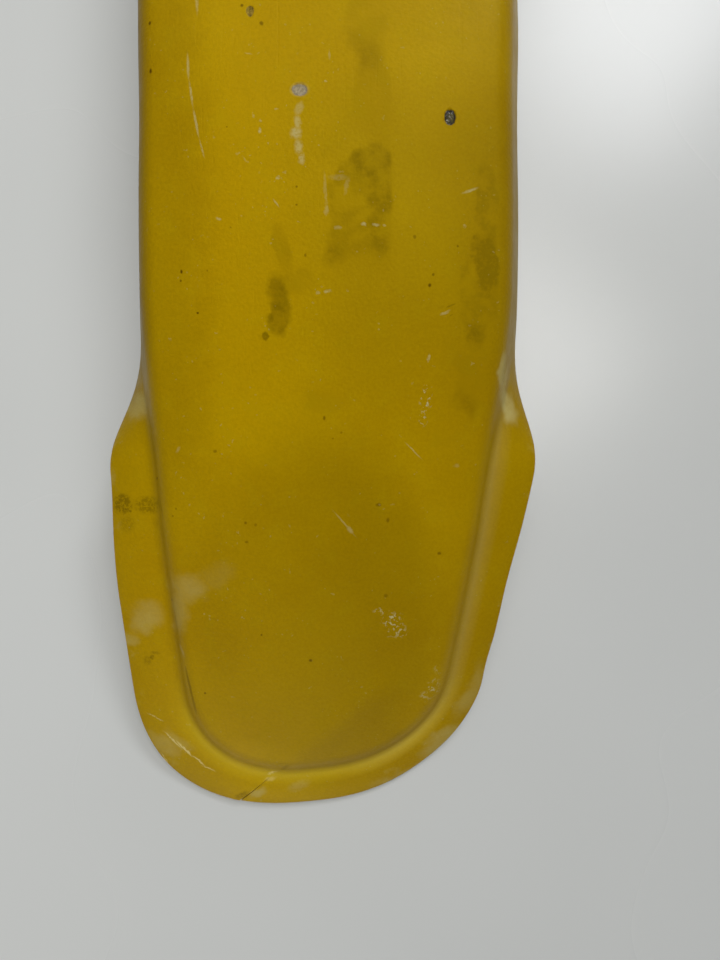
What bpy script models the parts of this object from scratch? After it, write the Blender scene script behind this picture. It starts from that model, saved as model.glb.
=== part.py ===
"""Front mudguard of an off-road motorcycle, with its rubber-mounted fixing set.

Metres, +Z up, +Y towards the front of the motorcycle, +X to one side of it.
The origin is the centre of the four-bolt pattern, on the top face of the crown.
The moulding rests on the level lips at its two ends when it lies on a flat surface.
"""

import math

import bmesh
import bpy
from mathutils import Matrix, Vector

# ---- Moulding, seen from the side ----
WALL = 0.0028
PAD_HALF_LENGTH = 0.050  # the crown is straight this far either side of the bolt pattern
REAR_RADIUS = 0.700  # arch of the crown behind the pad
REAR_REACH = 0.3500  # from the bolt pattern to the rear lip
FRONT_REACH = 0.4460  # from the bolt pattern to the front lip

# ---- Moulding, seen from above ----
CROWN_HALF = 0.0592  # half-width of the crown between the fork legs
CROWN_STEP = 0.0054  # it narrows this much where the skirt turns out
CROWN_WAIST = 0.0015  # and this much at the bolt pattern
LIP_AT_TIP = 0.0215  # how far the step and lip stand out from the crown at a tip
CAP_LENGTH = 0.0340  # length of the rounded end of the crown
CAP_POWER = 2.4  # superellipse power of that rounded end
FAN_SHARE = 0.35  # how far the ribs' inner ends move along the middle inside a rounded end
LEAN = 0.040  # age set: the rear end leans towards -X, per metre of length
LEAN_START = 0.165  # where that set begins, behind the bolt pattern
LEAN_EASE = 0.020  # length over which it comes in
SKEW = 0.094  # age set: the rear end's -X side is drawn back, per metre of width
SKEW_SPAN = (0.258, 0.345)
FLANGE_SHIFT = 0.0032  # near the rear tip the -X flange is twice this wider than the +X one
FLANGE_SHIFT_SPAN = (0.212, 0.262)

# ---- Moulding, cross-section ----
CAMBER = 0.0045  # how far the crown's edge lies below its middle
CAMBER_POWER = 2.0
PAD_CAMBER = 0.0006  # the same at the bolt pattern, where the grommets need a flat seat
PAD_CAMBER_POWER = 6.0
TIP_CAMBER_SHARE = 0.35
# outside the crown's edge: (between the fork legs, at the flares, at a tip)
SHOULDER_RADIUS = (0.0090, 0.0085, 0.0075)
WALL_ANGLE = (math.radians(73), math.radians(56), math.radians(46))
WALL_RUN = (0.0120, 0.0020, 0.0015)
FILLET_LENGTH = (0.0010, 0.0050, 0.0055)
LIP_INNER_ANGLE = (math.radians(73), math.radians(0), math.radians(-12))
LIP_OUTER_ANGLE = (math.radians(73), math.radians(22), math.radians(8))
LIP_WIDTH = (0.0060, 0.0144, 0.0106)
LIP_BELOW_TIP = 0.0055  # height of a level lip below the arch's line, carried on to the tip
LEVEL_SPAN = (0.30, 0.65)  # share of the way round an end over which its lip turns level

# ---- Mesh density of the moulding ----
CROWN_SHARES = (0.0, 0.22, 0.48, 0.74, 1.0)
SIDE_STEP = 0.018
FLARE_STEP = 0.007
CAP_RIBS = 8
SHOULDER_STEPS = 3
FILLET_STEPS = 2
LIP_STEPS = 3

# ---- Moulded ribs under the pad ----
RIB_X = 0.0460
RIB_HALF_LENGTH = 0.0460
RIB_THICKNESS = 0.0024
RIB_DEPTH = 0.0055
RIB_BITE = 0.0012  # how far a rib runs up into the wall

# ---- Fixing set ----
BOLT_X = 0.027
BOLT_Y = 0.032
GAP = 0.0003  # kept between pieces that touch
HOLE_RADIUS = 0.0070
CLAMP_Z = 0.0042  # the collars hold the fork clamp this far above the crown
COLLAR_BORE = 0.00325
COLLAR_RADIUS = 0.0045
COLLAR_FLANGE_RADIUS = 0.0080
COLLAR_FLANGE = 0.0015
COLLAR_LENGTH = 0.0100
GROMMET_RADIUS = 0.0100
GROMMET_FLANGE = 0.0022
GROOVE_GAP = 0.00025
PLATE_SIZE = (0.0780, 0.0880, 0.0020)
PLATE_CORNER = 0.0090
PLATE_HOLE = 0.0033
SLOT_SIZE = (0.0160, 0.0440)
WASHER_RADIUS = 0.0090
WASHER_BORE = 0.0032
WASHER_THICKNESS = 0.0016
SPRING_RADIUS = 0.0057
SPRING_SLIT = 0.0009
SPRING_SLANT = math.radians(28)
BOLT_RADIUS = 0.0029
BOLT_LENGTH = 0.0300
BOLT_CHAMFER = 0.0007
HEAD_ACROSS_FLATS = 0.0100
HEAD_HEIGHT = 0.0040
HEAD_CHAMFER = 0.0007
EDGE_BREAK = 0.0003  # rounded-off edges of collars, grommets and washers
ROUND_STEPS = 20

# ---- Heights of the fixing set, worked out from the top down ----
COLLAR_BOTTOM = CLAMP_Z - COLLAR_LENGTH
GROMMET_TOP = CLAMP_Z - COLLAR_FLANGE - GAP
GROMMET_BOTTOM = -WALL - GROOVE_GAP - GROMMET_FLANGE
PLATE_TOP = COLLAR_BOTTOM - GAP
WASHER_TOP = PLATE_TOP - PLATE_SIZE[2] - GAP
SPRING_TOP = WASHER_TOP - WASHER_THICKNESS - GAP
HEAD_TOP = SPRING_TOP - WASHER_THICKNESS - GAP


# ======================================================================
# Scene helpers
# ======================================================================
def clear_scene():
    for old in list(bpy.data.objects):
        bpy.data.objects.remove(old, do_unlink=True)


def new_collection(name):
    made = bpy.data.collections.new(name)
    bpy.context.scene.collection.children.link(made)
    return made


def make_material(name, colour, roughness, metallic=0.0):
    made = bpy.data.materials.new(name)
    made.use_nodes = True
    shader = made.node_tree.nodes["Principled BSDF"]
    shader.inputs["Base Color"].default_value = (*colour, 1.0)
    shader.inputs["Roughness"].default_value = roughness
    shader.inputs["Metallic"].default_value = metallic
    made.diffuse_color = (*colour, 1.0)
    return made


def add_object(name, mesh, collection, location=(0, 0, 0)):
    made = bpy.data.objects.new(name, mesh)
    collection.objects.link(made)
    made.location = location
    return made


def hidden(helper):
    helper.hide_render = True
    helper.display_type = "WIRE"
    return helper


def boolean(target, helper, operation):
    cut = target.modifiers.new(f"{operation.lower()} {helper.name}", "BOOLEAN")
    cut.operation = operation
    cut.object = helper
    cut.solver = "EXACT"


def baked(source, name):
    """The evaluated shape of source as one mesh, shaded smooth with its edges kept sharp."""
    graph = bpy.context.evaluated_depsgraph_get()
    mesh = bpy.data.meshes.new_from_object(source.evaluated_get(graph))
    mesh.name = name
    mesh.shade_smooth()
    mesh.set_sharp_from_angle(angle=math.radians(35))
    return mesh


def mesh_of(name, build):
    """A mesh filled by build(bm)."""
    mesh = bpy.data.meshes.new(name)
    bm = bmesh.new()
    build(bm)
    bm.to_mesh(mesh)
    bm.free()
    return mesh


# ======================================================================
# Curves that shape the moulding
# ======================================================================
def ease(low, high, value):
    share = min(1.0, max(0.0, (value - low) / (high - low)))
    return share * share * (3.0 - 2.0 * share)


def mix(a, b, share):
    return a + (b - a) * share


def arc_drop(radius, run):
    return radius - math.sqrt(radius * radius - run * run)


def three_way(values, flared, tip):
    """A section value between those stated for the fork legs, the flares and the tips."""
    return mix(mix(values[0], values[1], flared), values[2], tip)


def ramp(value, soft):
    """0 below zero and value above it, with a rounded corner of half-length soft."""
    if value <= -soft:
        return 0.0
    if value >= soft:
        return value
    return (value + soft) ** 2 / (4 * soft)


class End:
    """One end of the moulding. Runs are lengths along it, measured from the bolt pattern."""

    def __init__(self, sign, reach, radius, flare, step, taper_start, taper):
        self.sign = sign  # +1 front, -1 rear
        self.radius = radius
        self.flare = flare  # (run where the skirt starts to turn out, run where it is fully out)
        self.step = step  # (run where the crown starts to step in, run where it has)
        self.taper_start = taper_start
        self.taper = taper  # loss of crown half-width per metre of length
        self.crown_end = reach - LIP_AT_TIP
        self.cap_start = self.crown_end - CAP_LENGTH

    def arch(self, run):
        """Height of the crown's middle."""
        return -arc_drop(self.radius, max(0.0, run - PAD_HALF_LENGTH))

    def crown_half(self, run):
        waist = CROWN_WAIST * (1.0 - ease(0.030, 0.130, run))
        step = CROWN_STEP * ease(*self.step, run)
        return CROWN_HALF - waist - step - self.taper * ramp(run - self.taper_start, 0.020)

    def flared(self, run):
        return ease(self.flare[0], self.flare[1], run)

    def crown_edge(self, run, turn):
        """Plan of the crown's edge as (half-width, run): turn 0 is its side, 0 to 1 its rounded end."""
        angle = turn * math.pi / 2
        run += CAP_LENGTH * math.sin(angle) ** (2 / CAP_POWER)
        narrowing = max(0.0, math.cos(angle)) ** (2 / CAP_POWER)
        return Vector((self.crown_half(run) * narrowing, run))

    def outward(self, run, turn):
        """Unit plan direction, square to the crown's edge."""
        if turn == 1:
            return Vector((0.0, 1.0))
        step = 1e-4
        if turn:
            along = self.crown_edge(run, turn + step) - self.crown_edge(run, turn - step)
        else:
            along = self.crown_edge(run + step, 0) - self.crown_edge(run - step, 0)
        return Vector((along.y, -along.x)).normalized()


REAR_DROP = arc_drop(REAR_RADIUS, REAR_REACH - PAD_HALF_LENGTH)
FRONT_RUN = FRONT_REACH - PAD_HALF_LENGTH
FRONT_RADIUS = (FRONT_RUN**2 + REAR_DROP**2) / (2 * REAR_DROP)  # both tips end at one height
REAR = End(-1, REAR_REACH, REAR_RADIUS, (0.1640, 0.2148), (0.149, 0.229), 0.224, 0.115)
FRONT = End(+1, FRONT_REACH, FRONT_RADIUS, (0.075, 0.132), (0.098, 0.142), 0.150, 0.060)
REST_Z = -REAR_DROP - LIP_BELOW_TIP


def set_by_age(point):
    """The rear end of an old moulding leans to one side and is drawn back on that side."""
    run = -point.y
    lean = -LEAN * ramp(run - LEAN_START, LEAN_EASE)
    drawn = SKEW * point.x * ease(*SKEW_SPAN, run)
    return Vector((point.x + lean, point.y + drawn, point.z))


# ======================================================================
# The moulding's surface
# ======================================================================
def section(end, run, turn, start_angle, side):
    """The strip outside the crown's edge, as (step length, slope angle) one step after another."""
    tip = math.sin(turn * math.pi / 2) ** 2
    flared = end.flared(run)
    stepped = ease(*end.step, run)
    wall_angle = three_way(WALL_ANGLE, stepped, tip)
    inner_angle = three_way(LIP_INNER_ANGLE, flared, tip)
    outer_angle = three_way(LIP_OUTER_ANGLE, flared, tip)
    lip = three_way(LIP_WIDTH, flared, tip)
    if end is REAR:
        lip -= side * FLANGE_SHIFT * ease(*FLANGE_SHIFT_SPAN, run) * (1 - tip)
    shoulder = three_way(SHOULDER_RADIUS, stepped, tip) * (wall_angle - start_angle)
    stretches = (
        (shoulder, start_angle, wall_angle, SHOULDER_STEPS),
        (three_way(WALL_RUN, flared, tip), wall_angle, wall_angle, 1),
        (three_way(FILLET_LENGTH, flared, tip), wall_angle, inner_angle, FILLET_STEPS),
        (lip, inner_angle, outer_angle, LIP_STEPS),
    )
    for length, first, last, steps in stretches:
        for number in range(steps):
            yield length / steps, mix(first, last, (number + 0.5) / steps)


def levelled(points, turn):
    """The lip's points, tilted so that its rim comes to the resting height at an end."""
    short = (REST_Z - points[-1].z) * ease(*LEVEL_SPAN, turn)
    for number in range(LIP_STEPS):
        points[-1 - number].z += short * (1 - number / LIP_STEPS)


def rib_points(end, run, turn, side):
    """One rib of the moulding's top surface, from its middle out to its rim."""
    edge = end.crown_edge(run, turn)
    outward = end.outward(run, turn)
    tip = math.sin(turn * math.pi / 2) ** 2
    middle = Vector((0.0, run + FAN_SHARE * (edge.y - run)))
    at_pad = 1.0 - ease(0.045, 0.120, edge.y)
    camber = mix(CAMBER, PAD_CAMBER, at_pad) * mix(1.0, TIP_CAMBER_SHARE, tip)
    power = mix(CAMBER_POWER, PAD_CAMBER_POWER, at_pad)
    plan = []
    for share in CROWN_SHARES:
        plan.append((middle.lerp(edge, share), camber * share**power))
    flat, drop = plan[-1]
    start_angle = math.atan(camber * power / (edge - middle).length)
    for length, angle in section(end, edge.y, turn, start_angle, side):
        flat = flat + outward * (math.cos(angle) * length)
        drop += math.sin(angle) * length
        plan.append((flat, drop))
    points = [Vector((side * p.x, end.sign * p.y, end.arch(p.y) - drop)) for p, drop in plan]
    levelled(points, turn)
    return [set_by_age(point) for point in points]


def side_runs(end):
    """Runs of the ribs along one side, closer together where the skirt turns out."""
    stretches = (
        (0.0, end.flare[0], SIDE_STEP),
        (end.flare[0], end.step[1], FLARE_STEP),
        (end.step[1], end.cap_start, SIDE_STEP),
    )
    runs = [0.0]
    for low, high, step in stretches:
        steps = round((high - low) / step)
        runs += [mix(low, high, (number + 1) / steps) for number in range(steps)]
    return runs


def rib_stations():
    """Every rib of one side as (end, run, turn), from the front tip to the rear tip."""
    halves = []
    for end in (FRONT, REAR):
        half = [(end, run, 0.0) for run in side_runs(end)]
        half += [(end, end.cap_start, (number + 1) / CAP_RIBS) for number in range(CAP_RIBS)]
        halves.append(half)
    front, rear = halves
    return front[:0:-1] + rear


def build_top_surface(bm):
    """Loft between the ribs of both sides, which share the middle line and the two tip ribs."""
    columns = {+1: [], -1: []}
    for end, run, turn in rib_stations():
        shared = None
        for side in (+1, -1):
            if shared and turn == 1:
                columns[side].append(shared)
                continue
            points = rib_points(end, run, turn, side)
            first = shared[0] if shared else bm.verts.new(points[0])
            shared = [first] + [bm.verts.new(point) for point in points[1:]]
            columns[side].append(shared)
    for side, ribs in columns.items():
        for ahead, behind in zip(ribs, ribs[1:]):
            for inner in range(len(ahead) - 1):
                corners = (ahead[inner], ahead[inner + 1], behind[inner + 1], behind[inner])
                bm.faces.new(corners if side < 0 else corners[::-1])
    bmesh.ops.recalc_face_normals(bm, faces=bm.faces)
    if bm.faces[0].normal.z < 0:
        bmesh.ops.reverse_faces(bm, faces=bm.faces)


def bolt_places():
    return [(x, y) for y in (BOLT_Y, -BOLT_Y) for x in (-BOLT_X, BOLT_X)]


def box(name, size, centre, collection):
    """A box helper with its size in its mesh, so that its scale is one."""
    shape = Matrix.Translation(centre) @ Matrix.Diagonal((*size, 1.0))
    mesh = mesh_of(name, lambda bm: bmesh.ops.create_cube(bm, size=1.0, matrix=shape))
    return hidden(add_object(name, mesh, collection))


def drill(name, radius, place, collection, depth=0.040):
    """A cylindrical cutter standing upright through a bolt place."""

    def build(bm):
        bmesh.ops.create_cone(
            bm,
            cap_ends=True,
            segments=ROUND_STEPS,
            radius1=radius,
            radius2=radius,
            depth=depth,
        )

    return hidden(add_object(name, mesh_of(name, build), collection, (*place, 0.0)))


def build_moulding(parts, cutters):
    mesh = mesh_of("mudguard_shell", build_top_surface)
    shell = add_object("mudguard_shell", mesh, cutters)
    thick = shell.modifiers.new("wall", "SOLIDIFY")
    thick.thickness = WALL
    thick.offset = -1.0
    thick.use_even_offset = True
    for side in (-1, 1):
        low = -WALL - RIB_DEPTH
        high = -WALL + RIB_BITE
        size = (RIB_THICKNESS, 2 * RIB_HALF_LENGTH, high - low)
        rib = box(f"rib_{side:+d}", size, (side * RIB_X, 0.0, (low + high) / 2), cutters)
        boolean(shell, rib, "UNION")
    for number, place in enumerate(bolt_places()):
        boolean(shell, drill(f"grommet_hole_{number}", HOLE_RADIUS, place, cutters), "DIFFERENCE")
    final = baked(shell, "mudguard_shell")
    bpy.data.objects.remove(shell)
    made = add_object("mudguard_shell", final, parts)
    final.materials.append(make_material("yellow polypropylene", (0.56, 0.34, 0.004), 0.48))
    return made


# ======================================================================
# The fixing set
# ======================================================================
def turned(name, profile, collection):
    """A ring turned from a closed (radius, height) loop, or a solid from one ending on the axis.
    Every profile runs down its outer side."""
    mesh = bpy.data.meshes.new(name)
    on_axis = abs(profile[0][0]) < 1e-9
    count = len(profile)
    edges = [(number, (number + 1) % count) for number in range(count - on_axis)]
    mesh.from_pydata([(radius, 0.0, height) for radius, height in profile], edges, [])
    made = hidden(add_object(name, mesh, collection))
    screw = made.modifiers.new("turn", "SCREW")
    screw.steps = ROUND_STEPS
    screw.render_steps = ROUND_STEPS
    screw.use_merge_vertices = True
    screw.merge_threshold = 0.00001
    return made


def ring_profile(inner, outer, low, high):
    """A rectangular ring section with its outer edges broken."""
    return [
        (outer - EDGE_BREAK, high),
        (outer, high - EDGE_BREAK),
        (outer, low + EDGE_BREAK),
        (outer - EDGE_BREAK, low),
        (inner, low),
        (inner, high),
    ]


def grommet_profile():
    neck = HOLE_RADIUS - GAP
    bore = COLLAR_RADIUS + GAP
    inner = GROMMET_RADIUS - 2 * EDGE_BREAK
    return [
        (inner, GROMMET_TOP),
        (GROMMET_RADIUS, GROMMET_TOP - 2 * EDGE_BREAK),
        (GROMMET_RADIUS, GROOVE_GAP),
        (neck, GROOVE_GAP),
        (neck, -WALL - GROOVE_GAP),
        (GROMMET_RADIUS, -WALL - GROOVE_GAP),
        (GROMMET_RADIUS, GROMMET_BOTTOM + 2 * EDGE_BREAK),
        (inner, GROMMET_BOTTOM),
        (bore, GROMMET_BOTTOM),
        (bore, GROMMET_TOP),
    ]


def collar_profile():
    under = CLAMP_Z - COLLAR_FLANGE
    return [
        (COLLAR_FLANGE_RADIUS, CLAMP_Z),
        (COLLAR_FLANGE_RADIUS, under + EDGE_BREAK),
        (COLLAR_FLANGE_RADIUS - EDGE_BREAK, under),
        (COLLAR_RADIUS, under),
        (COLLAR_RADIUS, COLLAR_BOTTOM),
        (COLLAR_BORE, COLLAR_BOTTOM),
        (COLLAR_BORE, CLAMP_Z),
    ]


def spring_washer(cutters):
    low = SPRING_TOP - WASHER_THICKNESS
    ring = turned("spring_ring", ring_profile(WASHER_BORE, SPRING_RADIUS, low, SPRING_TOP), cutters)
    size = (SPRING_SLIT, SPRING_RADIUS, 4 * WASHER_THICKNESS)
    slit = box("spring_slit", size, (0.0, 0.0, 0.0), cutters)
    slit.location = (0.0, SPRING_RADIUS * 0.85, (low + SPRING_TOP) / 2)
    slit.rotation_euler = (0.0, SPRING_SLANT, 0.0)
    boolean(ring, slit, "DIFFERENCE")
    return ring


def bolt(cutters):
    """Hexagon head with its free face chamfered, and a plain shank with a chamfered tip."""
    low = HEAD_TOP - HEAD_HEIGHT
    corner = HEAD_ACROSS_FLATS / 2 / math.cos(math.radians(30))

    def hexagon(bm):
        bmesh.ops.create_cone(
            bm,
            cap_ends=True,
            segments=6,
            radius1=corner,
            radius2=corner,
            depth=HEAD_HEIGHT,
            matrix=Matrix.Translation((0.0, 0.0, (low + HEAD_TOP) / 2)),
        )

    head = hidden(add_object("bolt_head", mesh_of("bolt_head", hexagon), cutters))
    beyond = corner + HEAD_CHAMFER
    blank_profile = [
        (0.0, HEAD_TOP + GAP),
        (beyond, HEAD_TOP + GAP),
        (beyond, low + HEAD_CHAMFER * 1.4),
        (HEAD_ACROSS_FLATS / 2 - GAP, low - GAP / 2),
        (0.0, low - GAP / 2),
    ]
    boolean(head, turned("bolt_head_blank", blank_profile, cutters), "INTERSECT")
    tip = HEAD_TOP + BOLT_LENGTH
    shank_profile = [
        (0.0, tip),
        (BOLT_RADIUS - BOLT_CHAMFER, tip),
        (BOLT_RADIUS, tip - BOLT_CHAMFER),
        (BOLT_RADIUS, HEAD_TOP - HEAD_HEIGHT / 2),
        (0.0, HEAD_TOP - HEAD_HEIGHT / 2),
    ]
    boolean(head, turned("bolt_shank", shank_profile, cutters), "UNION")
    return head


def build_plate(parts, cutters):
    """Steel plate that spreads the bolts' load under the crown."""
    length_x, length_y, thickness = PLATE_SIZE
    centre_z = PLATE_TOP - thickness / 2

    def rounded(bm, size, radius):
        bmesh.ops.create_cube(bm, size=1.0, matrix=Matrix.Diagonal((*size, 1.0)))
        upright = [e for e in bm.edges if abs(e.verts[0].co.z - e.verts[1].co.z) > size[2] / 2]
        bmesh.ops.bevel(bm, geom=upright, offset=radius, segments=5, profile=0.5, affect="EDGES")

    mesh = mesh_of("plate_blank", lambda bm: rounded(bm, PLATE_SIZE, PLATE_CORNER))
    plate = hidden(add_object("plate_blank", mesh, cutters, (0.0, 0.0, centre_z)))
    slot_size = (*SLOT_SIZE, 4 * thickness)
    slot_mesh = mesh_of("plate_slot", lambda bm: rounded(bm, slot_size, SLOT_SIZE[0] * 0.49))
    slot = hidden(add_object("plate_slot", slot_mesh, cutters, (0.0, 0.0, centre_z)))
    boolean(plate, slot, "DIFFERENCE")
    for number, place in enumerate(bolt_places()):
        boolean(plate, drill(f"plate_hole_{number}", PLATE_HOLE, place, cutters), "DIFFERENCE")
    final = baked(plate, "stiffener_plate")
    bpy.data.objects.remove(plate)
    final.materials.append(make_material("zinc-plated plate", (0.55, 0.56, 0.58), 0.38, 1.0))
    made = add_object("stiffener_plate", final, parts, (0.0, 0.0, centre_z))
    return made


def build_fixings(parts, cutters):
    """Four of each fixing, one at each bolt place."""
    washer_low = WASHER_TOP - WASHER_THICKNESS
    washer = ring_profile(WASHER_BORE, WASHER_RADIUS, washer_low, WASHER_TOP)
    patterns = (
        ("grommet", turned("grommet_turned", grommet_profile(), cutters), (0.02, 0.02, 0.02), 0.7, 0),
        ("collar", turned("collar_turned", collar_profile(), cutters), (0.60, 0.60, 0.62), 0.35, 1),
        ("mount_bolt", bolt(cutters), (0.52, 0.52, 0.54), 0.32, 1),
        ("plain_washer", turned("washer_turned", washer, cutters), (0.62, 0.62, 0.64), 0.36, 1),
        ("spring_washer", spring_washer(cutters), (0.48, 0.48, 0.50), 0.34, 1),
    )
    for name, pattern, colour, roughness, metallic in patterns:
        mesh = baked(pattern, name)
        mesh.materials.append(make_material(name, colour, roughness, metallic))
        for number, (x, y) in enumerate(bolt_places(), start=1):
            add_object(f"{name}_{number}", mesh, parts, (x, y, 0.0))


def main():
    clear_scene()
    parts = new_collection("motorcycle_mudguard")
    cutters = new_collection("cutters")
    build_moulding(parts, cutters)
    build_plate(parts, cutters)
    build_fixings(parts, cutters)


main()
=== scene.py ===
"""The looks of a worn yellow off-road motorcycle mudguard and its fixing set.

Metres, in the CAD frame: +Z out of the crown, +Y to the front, the origin on the crown in the
middle of the four bolts. The moulding and the fixings are rebuilt as fine meshes in the place of
their CAD nodes, with procedural materials for moulded plastic, rubber and zinc-plated steel.
"""

import math

import bmesh
import bpy
from mathutils import Matrix, Vector, noise


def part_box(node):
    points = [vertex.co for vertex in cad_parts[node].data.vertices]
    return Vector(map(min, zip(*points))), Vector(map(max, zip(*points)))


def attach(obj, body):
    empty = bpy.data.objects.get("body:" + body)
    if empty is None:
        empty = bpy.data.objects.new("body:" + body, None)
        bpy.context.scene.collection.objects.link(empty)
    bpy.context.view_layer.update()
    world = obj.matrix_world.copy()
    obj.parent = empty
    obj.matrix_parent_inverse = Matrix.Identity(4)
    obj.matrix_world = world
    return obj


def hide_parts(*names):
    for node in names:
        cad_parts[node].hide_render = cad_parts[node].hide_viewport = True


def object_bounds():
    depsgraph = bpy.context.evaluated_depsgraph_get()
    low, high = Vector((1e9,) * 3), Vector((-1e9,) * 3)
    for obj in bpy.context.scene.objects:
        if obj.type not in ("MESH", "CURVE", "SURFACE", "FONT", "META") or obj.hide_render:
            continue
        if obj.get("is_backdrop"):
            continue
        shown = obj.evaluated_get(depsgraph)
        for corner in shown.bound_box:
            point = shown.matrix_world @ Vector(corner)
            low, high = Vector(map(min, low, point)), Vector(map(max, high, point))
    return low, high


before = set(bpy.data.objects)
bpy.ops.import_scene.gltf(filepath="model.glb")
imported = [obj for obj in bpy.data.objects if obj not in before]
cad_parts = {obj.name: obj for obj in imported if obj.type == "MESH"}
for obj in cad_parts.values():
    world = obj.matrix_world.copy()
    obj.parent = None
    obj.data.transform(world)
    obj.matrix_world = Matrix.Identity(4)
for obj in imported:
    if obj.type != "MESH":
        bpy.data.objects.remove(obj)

CAD_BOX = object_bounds()

# ---- The moulding's shape, as designed ----
WALL = 0.0028
PAD_HALF_LENGTH = 0.050
REAR_RADIUS = 0.700
REAR_REACH = 0.3500
FRONT_REACH = 0.4460
CROWN_HALF = 0.0592
CROWN_STEP = 0.0054
CROWN_WAIST = 0.0015
LIP_AT_TIP = 0.0215
CAP_LENGTH = 0.0340
CAP_POWER = 2.4
FAN_SHARE = 0.35
LEAN = 0.040
LEAN_START = 0.165
LEAN_EASE = 0.020
SKEW = 0.094
SKEW_SPAN = (0.258, 0.345)
FLANGE_SHIFT = 0.0032
FLANGE_SHIFT_SPAN = (0.212, 0.262)
CAMBER = 0.0045
CAMBER_POWER = 2.0
PAD_CAMBER = 0.0006
PAD_CAMBER_POWER = 6.0
TIP_CAMBER_SHARE = 0.35
# outside the crown's edge: (between the fork legs, at the flares, at a tip)
SHOULDER_RADIUS = (0.0090, 0.0085, 0.0075)
WALL_ANGLE = (math.radians(73), math.radians(56), math.radians(46))
WALL_RUN = (0.0120, 0.0020, 0.0015)
FILLET_LENGTH = (0.0010, 0.0050, 0.0055)
LIP_INNER_ANGLE = (math.radians(73), math.radians(0), math.radians(-12))
LIP_OUTER_ANGLE = (math.radians(73), math.radians(22), math.radians(8))
LIP_WIDTH = (0.0060, 0.0144, 0.0106)
LIP_BELOW_TIP = 0.0055
LEVEL_SPAN = (0.30, 0.65)
# mesh density of the fine surface
CROWN_STEPS = 26
SIDE_STEP = 0.0026
FLARE_STEP = 0.0018
CAP_RIBS = 40
SHOULDER_STEPS = 7
WALL_STEPS = 3
FILLET_STEPS = 5
LIP_STEPS = 7


# ======================================================================
# Curves that shape the moulding
# ======================================================================
def ease(low, high, value):
    share = min(1.0, max(0.0, (value - low) / (high - low)))
    return share * share * (3.0 - 2.0 * share)


def mix(a, b, share):
    return a + (b - a) * share


def arc_drop(radius, run):
    return radius - math.sqrt(radius * radius - run * run)


def three_way(values, flared, tip):
    return mix(mix(values[0], values[1], flared), values[2], tip)


def ramp(value, soft):
    """0 below zero and value above it, with a rounded corner of half-length soft."""
    if value <= -soft:
        return 0.0
    if value >= soft:
        return value
    return (value + soft) ** 2 / (4 * soft)


class End:
    """One end of the moulding. Runs are lengths along it, measured from the bolt pattern."""

    def __init__(self, sign, reach, radius, flare, step, taper_start, taper):
        self.sign = sign
        self.radius = radius
        self.flare = flare
        self.step = step
        self.taper_start = taper_start
        self.taper = taper
        self.crown_end = reach - LIP_AT_TIP
        self.cap_start = self.crown_end - CAP_LENGTH

    def arch(self, run):
        return -arc_drop(self.radius, max(0.0, run - PAD_HALF_LENGTH))

    def crown_half(self, run):
        waist = CROWN_WAIST * (1.0 - ease(0.030, 0.130, run))
        step = CROWN_STEP * ease(*self.step, run)
        return CROWN_HALF - waist - step - self.taper * ramp(run - self.taper_start, 0.020)

    def crown_edge(self, run, turn):
        """Plan of the crown's edge as (half-width, run): turn 0 is its side, 0 to 1 its rounded end."""
        angle = turn * math.pi / 2
        run += CAP_LENGTH * math.sin(angle) ** (2 / CAP_POWER)
        narrowing = max(0.0, math.cos(angle)) ** (2 / CAP_POWER)
        return Vector((self.crown_half(run) * narrowing, run))

    def outward(self, run, turn):
        if turn == 1:
            return Vector((0.0, 1.0))
        step = 1e-4
        if turn:
            along = self.crown_edge(run, turn + step) - self.crown_edge(run, turn - step)
        else:
            along = self.crown_edge(run + step, 0) - self.crown_edge(run - step, 0)
        return Vector((along.y, -along.x)).normalized()


REAR_DROP = arc_drop(REAR_RADIUS, REAR_REACH - PAD_HALF_LENGTH)
FRONT_RUN = FRONT_REACH - PAD_HALF_LENGTH
FRONT_RADIUS = (FRONT_RUN**2 + REAR_DROP**2) / (2 * REAR_DROP)
REAR = End(-1, REAR_REACH, REAR_RADIUS, (0.1640, 0.2148), (0.149, 0.229), 0.224, 0.115)
FRONT = End(+1, FRONT_REACH, FRONT_RADIUS, (0.075, 0.132), (0.098, 0.142), 0.150, 0.060)
REST_Z = -REAR_DROP - LIP_BELOW_TIP


def set_by_age(point):
    """The rear end of this old moulding leans to one side and is drawn back on that side."""
    run = -point.y
    lean = -LEAN * ramp(run - LEAN_START, LEAN_EASE)
    drawn = SKEW * point.x * ease(*SKEW_SPAN, run)
    return Vector((point.x + lean, point.y + drawn, point.z))


def section(end, run, turn, start_angle, side):
    """The strip outside the crown's edge, as (step length, slope angle) one step after another."""
    tip = math.sin(turn * math.pi / 2) ** 2
    flared = ease(*end.flare, run)
    stepped = ease(*end.step, run)
    wall_angle = three_way(WALL_ANGLE, stepped, tip)
    inner_angle = three_way(LIP_INNER_ANGLE, flared, tip)
    outer_angle = three_way(LIP_OUTER_ANGLE, flared, tip)
    lip = three_way(LIP_WIDTH, flared, tip)
    if end is REAR:
        lip -= side * FLANGE_SHIFT * ease(*FLANGE_SHIFT_SPAN, run) * (1 - tip)
    shoulder = three_way(SHOULDER_RADIUS, stepped, tip) * (wall_angle - start_angle)
    stretches = (
        (shoulder, start_angle, wall_angle, SHOULDER_STEPS),
        (three_way(WALL_RUN, flared, tip), wall_angle, wall_angle, WALL_STEPS),
        (three_way(FILLET_LENGTH, flared, tip), wall_angle, inner_angle, FILLET_STEPS),
        (lip, inner_angle, outer_angle, LIP_STEPS),
    )
    for length, first, last, steps in stretches:
        for number in range(steps):
            yield length / steps, mix(first, last, (number + 0.5) / steps)


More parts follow.
